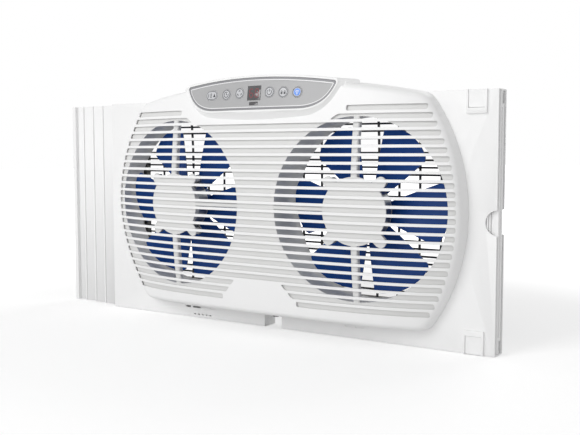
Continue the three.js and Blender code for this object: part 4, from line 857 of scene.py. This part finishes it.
def fan_baffle():
    panel = domed_shell((2.3, 3.2, 4.0, -SEAT), (4.1, 5.0, 2.0, -SEAT)).mesh("baffle_panel")
    panel = cut_by("baffle_panel", panel, [orifice_cutter(side * FAN_X) for side in (-1, 1)])
    extra = Shape()
    for side in (-1, 1):
        x = side * FAN_X
        lips = ((ORIFICE_RADIUS, 3.9), (RING_RADIUS, 3.5), (114.9, 3.6))
        front = [on_dome(circle(x, 0, FAN_Z, radius, 120), proud) for radius, proud in lips]
        rear = [circle(x, y, FAN_Z, r, 120) for r, y in ((114.9, 8.0), (113.5, 8.0), (ORIFICE_RADIUS, 7.7))]
        extra.rings(front + rear, closed=True)
        cup, bore = (circle(x, CUP_BACK_Y, MOTOR_Z, radius) for radius in (CUP_RADIUS, CUP_BORE))
        extra.rings([on_dome(cup, 4.0), cup, bore, on_dome(bore, 4.0)], closed=True)
        for sx, sz in CORNERS:
            bx, bz = x + sx * EAR_X, MOTOR_Z + sz * EAR_Z
            start = dome_y(bx, bz) + 4.0
            boss = [(4.6, start), (4.4, CUP_BACK_Y), (1.9, CUP_BACK_Y), (1.9, start)]
            turned(boss, bx, bz, 28, True, extra)
        for up in (-1, 1):
            root, tip = MOTOR_Z + up * ARM_ROOT_RADIUS, FAN_Z + up * RING_RADIUS
            stations = []
            for i in range(ARM_STEPS + 1):
                z = root + (tip - root) * i / ARM_STEPS
                stations.append(arm_section(x, 4.5, dome_y(x, z) + 3.2, 8.0, lambda a, b, z=z: (a, b, z)))
            extra.rings(stations)
        stations = []
        for i in range(ARM_STEPS + 1):
            px = x - side * (ARM_ROOT_RADIUS + (RING_RADIUS - ARM_ROOT_RADIUS) * i / ARM_STEPS)
            y = dome_y(px, MOTOR_Z) + 3.4
            stations.append(arm_section(MOTOR_Z + 1.6, 3.05, y, 16.0, lambda a, b, p=px: (p, b, a)))
        extra.rings(stations)
    mesh = joined("fan_baffle_dressed", panel, extra.mesh("baffle_rings"))
    dressed("fan_baffle", shaded(mesh, 34.0), "pale_plastic")


# ---------------------------------------------------------------- rear grille
def grille_depth(t, z):
    """How far back the bars and ribs lie at a height, in metres."""
    share = (z - FAN_Z * MM) / (GRILLE_HALF_HEIGHT * MM)
    fourth = t.maths("POWER", t.maths("ABSOLUTE", share), 4.0)
    return (1.0 - fourth) * (GRILLE_DOME * MM) + GRILLE_BAR_Y * MM


def rear_grille_tree():
    """Level bars and upright ribs that dome to the rear, beside the border they stand in."""
    t = geometry_tree(
        "rear_grille",
        [
            ("Border", "Geometry", None),
            ("Bars", "Int", 24),
            ("Bar Pitch", "Float", 9.2045 * MM),
            ("Bar Radius", "Float", 1.3 * MM),
            ("Bar Half Length", "Float", 254.7 * MM),
            ("Ribs a Side", "Int", 8),
            ("First Rib", "Float", 25.0 * MM),
            ("Rib Pitch", "Float", 28.5 * MM),
            ("Rib Half Width", "Float", 1.35 * MM),
            ("Finish", "Material", None),
        ],
    )
    given = t.given
    lowest = FAN_Z * MM - (given["Bars"] - 1.0) * 0.5 * given["Bar Pitch"]
    rows = t.row(given["Bars"], t.vector(z=lowest), t.vector(z=given["Bar Pitch"]))
    depth = grille_depth(t, t.position()[2])
    half = given["Bar Half Length"]
    section = {"Resolution": 10, "Radius": given["Bar Radius"]}
    round_bar = t.node("GeometryNodeCurvePrimitiveCircle", section)
    bar = t.swept(t.line(t.vector(x=-half), t.vector(x=half)), round_bar)
    bars = t.copies(t.shifted(rows, t.vector(y=depth + 1.1 * MM)), bar)
    ends = [(0.0, 0.0, (FAN_Z + up * GRILLE_RIB_HALF_HEIGHT) * MM) for up in (-1, 1)]
    upright = t.node("GeometryNodeResampleCurve", {"Curve": t.line(*ends), "Count": 25})
    section = {"Width": given["Rib Half Width"] * 2.0, "Height": 2.0 * MM}
    flat_bar = t.node("GeometryNodeCurvePrimitiveQuadrilateral", section)
    rib = t.swept(t.shifted(upright, t.vector(y=depth + 0.9 * MM)), flat_bar)
    ribs = []
    for side in (-1.0, 1.0):
        first, step = (t.vector(x=given[label] * side) for label in ("First Rib", "Rib Pitch"))
        ribs.append(t.copies(t.row(given["Ribs a Side"], first, step), rib))
    return t.ended(t.gathered(given["Border"], bars, *ribs))


def rectangle_ring(half, z0, z1, y, radius, x=0.0):
    """A round-cornered rectangle of points in X and Z."""
    ring = []
    for cx, cz, start in (
        (half - radius, z0 + radius, -90),
        (half - radius, z1 - radius, 0),
        (-half + radius, z1 - radius, 90),
        (-half + radius, z0 + radius, 180),
    ):
        for i in range(6):
            turn = math.radians(start + 18 * i)
            ring.append((x + cx + radius * math.cos(turn), y, cz + radius * math.sin(turn)))
    return ring


def rear_grille():
    z0, z1 = FAN_Z - GRILLE_HALF_HEIGHT, FAN_Z + GRILLE_HALF_HEIGHT
    levels = [(0, 22.5, 3), (0.4, 22.5, 3), (3.9, 22.5, 2), (3.9, 29.2, 2), (4.3, 29.6, 2)]
    levels += [(5.9, 29.6, 1.2), (6.3, 29.2, 1), (6.3, 20.2, 1), (0.3, 20.2, 3), (0, 20.5, 3)]
    rings = [rectangle_ring(GRILLE_HALF - d, z0 + d, z1 - d, y, r) for d, y, r in levels]
    border = Shape().rings(rings, closed=True).mesh("grille_border")
    # The bars and ribs are painted near black as painted shade, for the shade they lie in behind the fans.
    finish = {"Finish": FINISH["dark_plastic"]}
    mesh = outward(grown_by("rear_grille_dressed", border, rear_grille_tree(), finish))
    dressed("rear_grille", shaded(mesh, 40.0), "dark_plastic")


# ---------------------------------------------------------------- fans and motors
def fan_blades_tree():
    """Blades as twisted sheets round the fan's axis, with their thickness."""
    t = geometry_tree(
        "fan_blades",
        [
            ("Hub", "Geometry", None),
            ("Blades", "Int", 6),
            ("Root Radius", "Float", 28.0 * MM),
            ("Tip Radius", "Float", 108.0 * MM),
            ("Root Half Angle", "Float", math.radians(23.0)),
            ("Tip Half Angle", "Float", math.radians(21.5)),
            ("Root Sweep", "Float", 6.5 * MM),
            ("Tip Sweep", "Float", 8.5 * MM),
            ("Thickness", "Float", 1.8 * MM),
            ("Turn", "Float", 0.0),
            ("Centre", "Vector", (0.0, 0.0, 0.0)),
            ("Finish", "Material", None),
        ],
    )
    given = t.given
    sizes = {"Size X": 2.0, "Size Y": 2.0, "Vertices X": 25, "Vertices Y": 19}
    sheet = t.node("GeometryNodeMeshGrid", sizes)
    across, along, _ = t.position()
    share = (along + 1.0) * 0.5

    def from_root(label, amount):
        root = given["Root " + label]
        return root + (given["Tip " + label] - root) * amount

    corner = t.maths("POWER", t.maths("ABSOLUTE", share * across), 14.0)
    trim = 1.0 - share * share * (across * across) * 0.05 - corner * 0.03
    radius = from_root("Radius", share) * trim
    turn = from_root("Half Angle", share) * across
    sweep = from_root("Sweep", t.maths("SQRT", share))
    depth = sweep * t.maths("SINE", across * (math.pi / 2.4))
    place = t.vector(radius * t.maths("COSINE", turn), depth, radius * t.maths("SINE", turn))
    bent = t.node("GeometryNodeSetPosition", {"Geometry": sheet, "Position": place})
    inputs = {"Mesh": bent, "Offset": t.vector(y=1.0), "Offset Scale": given["Thickness"]}
    raised = t.node("GeometryNodeExtrudeMesh", {**inputs, "Individual": False})
    closed = t.gathered(raised, t.node("GeometryNodeFlipFaces", {"Mesh": bent}))
    blade = t.node("GeometryNodeMergeByDistance", {"Geometry": closed, "Distance": 1e-6})
    step = 2 * math.pi / given["Blades"]
    places = t.row(given["Blades"], (0.0, 0.0, 0.0), (0.0, 0.0, 0.0))
    angle = -(t.node("GeometryNodeInputIndex") * step + given["Turn"])
    copies = t.copies(places, blade, t.vector(y=angle))
    return t.ended(t.gathered(given["Hub"], t.transformed(copies, Translation=given["Centre"])))


FAN_BLADES = fan_blades_tree()


def rotor(side, x, turn):
    """The fan: a cup hub with a collar on the shaft, and its blades."""
    profile = [(4.3, -10), (7.6, -10), (8, -9.6), (8, 2), (27, 2), (27, -14), (28.6, -14), (29, -13.6)]
    profile += [(29, 2.4), (27.6, 4), (4.3, 4)]
    hub = turned(profile, x, MOTOR_Z, 72, True).mesh(f"{side}_hub")
    values = {"Turn": math.radians(turn), "Centre": (x * MM, FAN_MIDDLE_Y * MM, MOTOR_Z * MM)}
    values["Finish"] = FINISH["blade_blue"]
    mesh = shaded(outward(grown_by(f"{side}_fan_dressed", hub, FAN_BLADES, values)), 40.0)
    finished(f"{side}_fan_dressed", mesh, ["blade_blue"], f"{side}_fan", "blade_blue", f"{side}_rotor")


def ear(shape, x, sx, sz):
    """A screw ear of the motor can: a round end on a web."""
    along = Vector((sx * EAR_X, sz * EAR_Z)).normalized()
    beside = Vector((-along.y, along.x))
    end = Vector((x + sx * EAR_X, MOTOR_Z + sz * EAR_Z))
    near = Vector((x, MOTOR_Z)) + along * 34.0
    ring = [near + beside * EAR_RADIUS, near - beside * EAR_RADIUS]
    base = math.atan2(along.y, along.x)
    for i in range(13):
        turn = base - math.pi / 2 + math.pi * i / 12
        ring.append(end + Vector((math.cos(turn), math.sin(turn))) * EAR_RADIUS)
    middle = sum(ring, Vector((0, 0))) / len(ring)
    levels = []
    for share, y in ((0.96, -36), (1, -35.6), (1, -33.9), (0.96, -33.5)):
        level = [middle + (p - middle) * share for p in ring]
        levels.append([(p.x, y, p.y) for p in level])
    shape.rings(levels)


def motor(side, x):
    """The motor's can, end plate, shaft and nut."""
    profile = [(4.3, -36), (33, -36), (35.6, -35.5), (36.7, -34.4), (37, -32.8), (37, -17.6), (36.9, -17.5)]
    profile += [(35.9, -17.5), (35.8, -34.2), (34, -34.8), (10, -34.8), (10, -31.8), (8.3, -31.8)]
    profile += [(8.3, -34.8), (4.3, -34.8)]
    can = turned(profile, x, MOTOR_Z, 96, True)
    for sx, sz in CORNERS:
        ear(can, x, sx, sz)
    dressed(f"{side}_motor_can", can.mesh("can"), "zinc_steel")
    plate = [(4.3, -17.2), (8.3, -17.2), (8.3, -20.2), (10, -20.2), (10, -17.2), (36.6, -17.2), (37, -16.9)]
    plate += [(37, -16.1), (36.6, -15.7), (22, -15.7), (21, -15.9), (13, -15.9), (12, -15.7), (4.3, -15.7)]
    end_plate = turned(plate, x, MOTOR_Z, 96, True)
    dressed(f"{side}_motor_end_plate", end_plate.mesh("end_plate"), "zinc_steel")
    profile = [(0.01, -34.8), (3.6, -34.8), (4, -34.4), (4, 11.6), (3.4, 12.2), (0.01, 12.2)]
    shaft = turned(profile, x, MOTOR_Z, 40)
    dressed(f"{side}_shaft", shaft.mesh("shaft"), "shaft_steel", f"{side}_fan")
    profile = [(7.3, 4.3), (8.0, 4.9), (8.0, 8.2), (7.3, 8.8), (4.35, 8.8), (4.35, 4.3)]
    nut = turned(profile, x, MOTOR_Z, 6, True)
    dressed(f"{side}_fan_nut", nut.mesh("nut"), "zinc_steel", f"{side}_fan")


# ---------------------------------------------------------------- screws
def screw_tree():
    """A cross-recessed screw on each point, its head towards the rear."""
    t = geometry_tree(
        "cross_screws",
        [
            ("Places", "Geometry", None),
            ("Head Radius", "Float", 3.2 * MM),
            ("Head Height", "Float", 2.2 * MM),
            ("Shank Radius", "Float", 1.5 * MM),
            ("Shank Length", "Float", 13.0 * MM),
            ("Finish", "Material", None),
        ],
    )
    given = t.given
    radius, height = given["Head Radius"], given["Head Height"]
    sizes = {"Vertices": 28, "Fill Segments": 1, "Radius Top": radius * 0.86, "Radius Bottom": radius}
    head = t.node("GeometryNodeMeshCone", {**sizes, "Depth": height})
    long_side, narrow = radius * 1.15, radius * 0.26
    bars = []
    for width, length in ((long_side, narrow), (narrow, long_side)):
        bar = t.node("GeometryNodeMeshCube", {"Size": t.vector(width, length, height)})
        bars.append(t.transformed(bar, Translation=t.vector(z=height)))
    recessed = t.less(head, t.gathered(*bars), "EXACT")
    sizes = {"Vertices": 16, "Radius": given["Shank Radius"], "Depth": given["Shank Length"]}
    shank = t.node("GeometryNodeMeshCylinder", sizes, fill_type="NGON")
    dropped = t.transformed(shank, Translation=t.vector(z=given["Shank Length"] * -0.5))
    screw = t.gathered(recessed, dropped)
    return t.ended(t.copies(given["Places"], screw, (-math.pi / 2, 0.0, 0.0)))


SCREWS = screw_tree()


def screws(name, places, sizes, nodes):
    points = bpy.data.meshes.new(name + "_places")
    points.from_pydata([Vector(p) * MM for p in places], [], [])
    labels = ("Head Radius", "Head Height", "Shank Radius", "Shank Length")
    values = {label: size * MM for label, size in zip(labels, sizes)}
    values["Finish"] = FINISH["zinc_steel"]
    mesh = shaded(outward(grown_by(name, points, SCREWS, values)), 35.0)
    finished(name, mesh, ["zinc_steel"], HOUSING, "zinc_steel", *nodes)


# ---------------------------------------------------------------- console
ROUND_CONTROLS = [
    ("timer_button", -45.4, CONSOLE_ROW_Z),
    ("speed_button", -23.1, CONSOLE_ROW_Z + 1.0),
    ("power_button", 23.7, CONSOLE_ROW_Z + 0.9),
    ("lock_button", 44.2, CONSOLE_ROW_Z + 0.2),
    ("link_button", 64.2, CONSOLE_ROW_Z - 0.4),
]


def shrinking_rings(ring, depth):
    """Rings on the console's surface that close a face from its outline to its middle."""
    made = []
    for step in range(1, CONSOLE_STEPS):
        share = 1 - step / CONSOLE_STEPS
        points = [(x * share, CONSOLE_MIDDLE_Z + (z - CONSOLE_MIDDLE_Z) * share) for x, z in ring]
        made.append([(x, console_y(x, z) + depth, z) for x, z in points])
    made.append([(0.0, console_y(0, CONSOLE_MIDDLE_Z) + depth, CONSOLE_MIDDLE_Z)] * len(ring))
    return made


def control_panel():
    """The grey insert with its darker band, its bright line and the holes for the controls."""
    face, band, line = 0, 1, 2
    back = shrinking_rings(console_outline(-0.2), 2.0)[::-1]
    levels = [(-0.2, 2.0, band), (0.0, 1.8, band), (0.0, 0.2, band), (-0.3, 0.0, band), (-2.6, 0.0, band)]
    levels += [(-3.1, -0.12, line), (-3.7, -0.12, line), (-4.1, 0.1, face)]
    front = [console_ring(grow, depth) for grow, depth, _ in levels]
    middle = shrinking_rings(console_outline(-4.1), 0.1)
    finishes = [band] * len(back) + [own for _, _, own in levels][1:] + [face] * (len(middle) + 1)
    panel = Shape().rings(back + front + middle, caps=False, ring_finish=finishes)
    holes = []
    for name, x, z in ROUND_CONTROLS:
        place = console_place(x, z)
        cutter = Shape().rings([place(disc(7.2, 40), depth) for depth in CUTTER_REACH])
        holes.append(cutter.mesh(name + "_hole"))
    place = console_place(MODE_X, CONSOLE_ROW_Z)
    pill = Shape().rings([place(pill_ring(20.6, 13.1), depth) for depth in CUTTER_REACH])
    holes.append(pill.mesh("mode_hole"))
    for half, half_height, z in ((10.5, 9.3, DISPLAY_Z), (6.8, 2.2, 299.55)):
        z0, z1 = z - half_height, z + half_height
        corners = [(-half, z0), (half, z0), (half, z1), (-half, z1)]
        rings = [[(x, console_y(0, cz) + depth, cz) for x, cz in corners] for depth in CUTTER_REACH]
        holes.append(Shape().rings(rings).mesh("window_hole"))
    mesh = cut_by("control_panel_dressed", panel.mesh("control_panel_start"), holes)
    posts = Shape()
    for x in (-56, 56):
        for z in (302.5, 318.0):
            posts.rings([circle(x, console_y(0, z) + depth, z, 2.2, 20) for depth in (3.4, 7.9)])
    mesh = shaded(joined("control_panel_dressed", mesh, posts.mesh("board_posts")), 30.0)
    materials = ["console_plastic", "console_rim", "console_line"]
    finished("control_panel_dressed", mesh, materials, HOUSING, "console_plastic", "control_panel")


def pill_ring(width, height, count=14):
    radius = height / 2
    half = width / 2 - radius
    ring = []
    for centre, start in ((half, -90), (-half, 90)):
        for i in range(count + 1):
            turn = math.radians(start + 180 * i / count)
            ring.append((centre + radius * math.cos(turn), radius * math.sin(turn)))
    return ring


def arc(radius, start, end, count=20, x=0.0, z=0.0):
    turns = [math.radians(start + (end - start) * i / count) for i in range(count + 1)]
    return [(x + radius * math.cos(t), z + radius * math.sin(t)) for t in turns]


def stroke(shape, place, line, width, finish, depth=-0.62):
    """A raised line on a control's face."""
    sections = []
    for i, point in enumerate(line):
        along = (Vector(line[min(i + 1, len(line) - 1)]) - Vector(line[max(i - 1, 0)])).normalized()
        side = Vector((-along.y, along.x)) * width / 2
        edges = [Vector(point) + side, Vector(point) - side]
        sections.append(place(edges, depth) + place(edges[::-1], INK_BOTTOM))
    shape.rings(sections, finish)


def filled(shape, place, points, finish, depth=-0.62):
    """A raised patch on a control's face."""
    shape.rings([place(points, level) for level in (depth, INK_BOTTOM)], finish)


def timer_icon(shape, place, ink):
    stroke(shape, place, arc(3.5, 60, 380), 0.75, ink)
    stroke(shape, place, [(0, 0), (0, 2.4)], 0.7, ink)
    stroke(shape, place, [(0, 0), (1.7, 0)], 0.7, ink)


def speed_icon(shape, place, ink):
    for base in (90, 210, 330):
        x, z = (1.9 * wave(math.radians(base)) for wave in (math.cos, math.sin))
        filled(shape, place, arc(1.9, base - 60, base + 80, 12, x, z), ink)


def power_icon(shape, place, ink):
    stroke(shape, place, arc(3.3, 125, 415), 0.75, ink)
    stroke(shape, place, [(0, 0.6), (0, 4.1)], 0.8, ink)


def lock_icon(shape, place, ink):
    for x in (-2.2, 2.2):
        filled(shape, place, [(x - 1.3, -2.6), (x + 1.3, -2.6), (x + 1.3, 0.2), (x - 1.3, 0.2)], ink)
        stroke(shape, place, arc(1.0, 0, 180, 10, x, 0.6), 0.55, ink)


def link_icon(shape, place, ink):
    filled(shape, place, arc(4.7, 0, 352, 44), ink, -0.58)
    filled(shape, place, arc(0.8, 0, 330, 12, 0, -2.2), ink + 1, -0.7)
    for radius in (2.2, 3.9):
        stroke(shape, place, arc(radius, 48, 132, 12, 0, -2.2), 0.75, ink + 1, -0.7)


def mode_icon(shape, place, ink):
    stroke(shape, place, [(-6.3, -2.6), (-5.4, 2.6)], 0.8, ink)
    stroke(shape, place, arc(1.0, 0, 359, 16, -1.2, 1.5), 0.6, ink)
    stroke(shape, place, arc(1.3, 0, 359, 16, -1.2, -1.5), 0.6, ink)
    filled(shape, place, [(2.6, -2.4), (7.0, -2.4), (4.8, 2.2)], ink)


def stem_end(x):
    """How deep a control's stem reaches: short of the board by its travel and a little room."""
    return BOARD_DEPTH - CONSOLE_CURVE * x * x - 1.7


def round_button(name, x, z, icon, finishes):
    place = console_place(x, z)
    shape = Shape()
    profile = [(0.01, -0.42), (3.0, -0.44), (5.9, -0.5), (6.6, -0.4), (6.9, -0.05), (6.9, 2.6), (2.2, 2.6)]
    profile += [(2.2, stem_end(x)), (0.01, stem_end(x))]
    shape.rings([place(disc(radius, 48), depth) for radius, depth in profile])
    rim = [(5.525, -0.6), (6.275, -0.6), (6.275, INK_BOTTOM), (5.525, INK_BOTTOM)]
    shape.rings([place(disc(radius, 48), depth) for radius, depth in rim], 1, closed=True)
    icon(shape, place, 2)
    slot = finishes[2] if len(finishes) > 3 else finishes[0]
    finished(name + "_dressed", shape.mesh(name + "_dressed", 35.0), finishes, name + "_body", slot, name)


def mode_button():
    place = console_place(MODE_X, CONSOLE_ROW_Z)
    shape = Shape()
    levels = [(18.4, -0.5), (19.6, -0.38), (20.0, -0.05), (20.0, 2.6)]
    shape.rings([place(pill_ring(w, w - 7.5), depth) for w, depth in levels])
    shape.rings([place(disc(2.2, 24), depth) for depth in (2.4, stem_end(MODE_X))])
    rim = [(18.6, -0.6), (17.2, -0.6), (17.2, INK_BOTTOM), (18.6, INK_BOTTOM)]
    shape.rings([place(pill_ring(w, w - 7.5), depth) for w, depth in rim], 1, closed=True)
    mode_icon(shape, place, 1)
    mesh = shape.mesh("mode_button_dressed", 35.0)
    finishes = ["button_plastic", "ink"]
    finished("mode_button_dressed", mesh, finishes, "mode_button_body", "button_plastic", "mode_button")


def display_digits():
    """Two seven-segment digits on the smoked window."""
    segments = {
        "a": ((-1, 2), (1, 2)),
        "b": ((1, 2), (1, 0)),
        "c": ((1, 0), (1, -2)),
        "d": ((-1, -2), (1, -2)),
        "e": ((-1, 0), (-1, -2)),
        "f": ((-1, 2), (-1, 0)),
        "g": ((-1, 0), (1, 0)),
    }
    shape = Shape()
    for lit, middle in (("acdefg", -4.3), ("abcdefg", 4.3)):
        for key in lit:
            start, end = (Vector((middle + a * 2.5, b * 2.6)) for a, b in segments[key])
            along = (end - start).normalized()
            side = Vector((-along.y, along.x)) * 0.6
            start, end = start + along * 0.35, end - along * 0.35
            corners = [start, start + along * 0.6 + side, end - along * 0.6 + side]
            corners += [end, end - along * 0.6 - side, start + along * 0.6 - side]
            points = [(p.x, DISPLAY_Z + p.y) for p in corners]
            shape.rings([[(x, console_y(0, z) + depth, z) for x, z in points] for depth in (-0.06, 0.1)])
    finished("display_digits", shape.mesh("display_digits"), ["lit_digit"], HOUSING, "smoke_window")


# ---------------------------------------------------------------- slide locks
def slide_lock(end, z0, z1):
    """A thumb plate with rounded edges and a shallow dish in its face."""
    x0, x1 = 269.6, 289.4
    levels = [(0.0, -0.3, 1.0), (0.0, -1.8, 1.0), (0.4, -2.2, 0.8), (1.6, -2.2, 0.8)]
    levels += [(4.0, -1.9, 0.8), (7.0, -1.6, 0.8)]
    middle, half = (x0 + x1) / 2, (x1 - x0) / 2
    rings = [rectangle_ring(half - draw, z0 + draw, z1 - draw, y, r, middle) for draw, y, r in levels]
    node = f"{end}_slide_lock"
    dressed(node, Shape().rings(rings).mesh(node + "_dressed", 30.0), "white_plastic", node + "_body")


# ---------------------------------------------------------------- assembly
front_cover()
fan_baffle()
rear_grille()
for (side, across), turn in zip(SIDES, (-3.0, -1.0)):
    rotor(side, across * FAN_X, turn)
    motor(side, across * FAN_X)
frame_places = [(s * x, 17.25, z) for s in (-1, 1) for x, z in ((245, 11.5), (245, 298.5), (110, 11.5))]
screws("frame_screws", frame_places, (3.2, 2.2, 1.5, 13.0), [f"frame_screw_{i}" for i in range(1, 7)])
for side, across in SIDES:
    places = [(across * FAN_X + sx * EAR_X, -33.2, MOTOR_Z + sz * EAR_Z) for sx, sz in CORNERS]
    nodes = [f"{side}_motor_screw_{i}" for i in range(1, 5)]
    screws(f"{side}_motor_screws", places, (3.4, 2.0, 1.6, 8.0), nodes)
control_panel()
icons = (timer_icon, speed_icon, power_icon, lock_icon, link_icon)
for (name, x, z), icon in zip(ROUND_CONTROLS, icons):
    inks = ["blue_button", "white_ink"] if icon is link_icon else ["ink"]
    round_button(name, x, z, icon, ["button_plastic", "ink", *inks])
mode_button()
display_digits()
latch_slits = [((x0, -1, 13.4), (x1, 6, 15.7)) for x0, x1 in ((-161.5, -152.5), (-149.0, -134.5))]
grip_pits = [((x - 1.7, -1, 3.5), (x + 1.7, 6, 5.3)) for x in (-144.5, -137.5, -130.5, -123.5, -116.5)]
softened("frame_front", HOUSING, "white_plastic", latch_slits + grip_pits)
softened("frame_rear", HOUSING, "white_plastic")
softened("cord_bushing", HOUSING, "black_rubber")
softened("display_window", HOUSING, "smoke_window")
softened("ir_window", HOUSING, "smoke_window")
for side, _ in SIDES:
    for i in range(1, 5):
        softened(f"{side}_leaf_{i}", f"{side}_leaf_{i}_body", "white_plastic")
slide_lock("top", 289.1, 309.7)
slide_lock("bottom", 0.3, 21.6)
kept = {"control_board": "circuit_board", "display_module": "dark_plastic"}
for side, _ in SIDES:
    kept.update({f"{side}_{part}": "laminated_steel" for part in ("stator", "armature")})
    kept.update({f"{side}_{part}_bearing": "shaft_steel" for part in ("front", "rear")})
for node, finish in kept.items():
    for material_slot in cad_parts[node].material_slots:
        material_slot.material = FINISH[finish]

# ---------------------------------------------------------------- floor, world and lights
FLOOR_Z = -0.0006
corners = [(-8, -8, FLOOR_Z), (8, -8, FLOOR_Z), (8, 12, FLOOR_Z), (-8, 12, FLOOR_Z)]
floor_mesh = bpy.data.meshes.new("floor")
floor_mesh.from_pydata(corners, [], [(0, 1, 2, 3)])
floor = bpy.data.objects.new("floor", floor_mesh)
scene.collection.objects.link(floor)
floor_material, t = empty_material("pale_floor")
base = t.node("ShaderNodeBsdfDiffuse", {"Color": (0.82, 0.82, 0.82, 1.0)})
# Painted light: for camera and reflection rays the floor glows at 0.34 of full strength within 0.5 m of the
# fan and rises to full strength at 1.5 m, so the floor turns white away from the fan while the lamps'
# shadow shows near it.
place = t.node("ShaderNodeTexCoord", output="Object")
away = t.node("ShaderNodeVectorMath", {0: place}, "Value", operation="LENGTH")
reach = {"Value": away, "From Min": 0.5, "From Max": 1.5, "To Min": 0.34, "To Max": 1.0}
lift = t.node("ShaderNodeMapRange", reach, "Result")
glow = t.node("ShaderNodeEmission", {"Color": (1, 1, 1, 1), "Strength": t.seen_ray() * lift})
t.node("ShaderNodeOutputMaterial", {"Surface": t.node("ShaderNodeAddShader", {0: base, 1: glow})})
floor_mesh.materials.append(floor_material)

world = bpy.data.worlds.new("studio")
scene.world = world
world.use_nodes = True
world.node_tree.nodes.clear()
t = Tree(world.node_tree)
sky = t.node("ShaderNodeBackground", {"Color": (1, 1, 1, 1), "Strength": 0.5 + t.seen_ray() * 0.5})
t.node("ShaderNodeOutputWorld", {"Surface": sky})


def soft_lamp(name, place, size, power):
    """A square lamp that looks at the foot of the fan."""
    data = bpy.data.lights.new(name, "AREA")
    data.shape = "SQUARE"
    data.size = size
    data.energy = power
    lamp = bpy.data.objects.new(name, data)
    lamp.location = place
    lamp.rotation_euler = (Vector((0, 0, 0.15)) - Vector(place)).to_track_quat("-Z", "Y").to_euler()
    scene.collection.objects.link(lamp)


soft_lamp("key", (-0.8, -2.6, 1.7), 1.5, 33)
soft_lamp("fill", (0.3, -3.0, 0.3), 1.6, 20)
soft_lamp("rear", (0.4, 2.6, 1.8), 2.0, 22)
scene.view_settings.view_transform = "Standard"
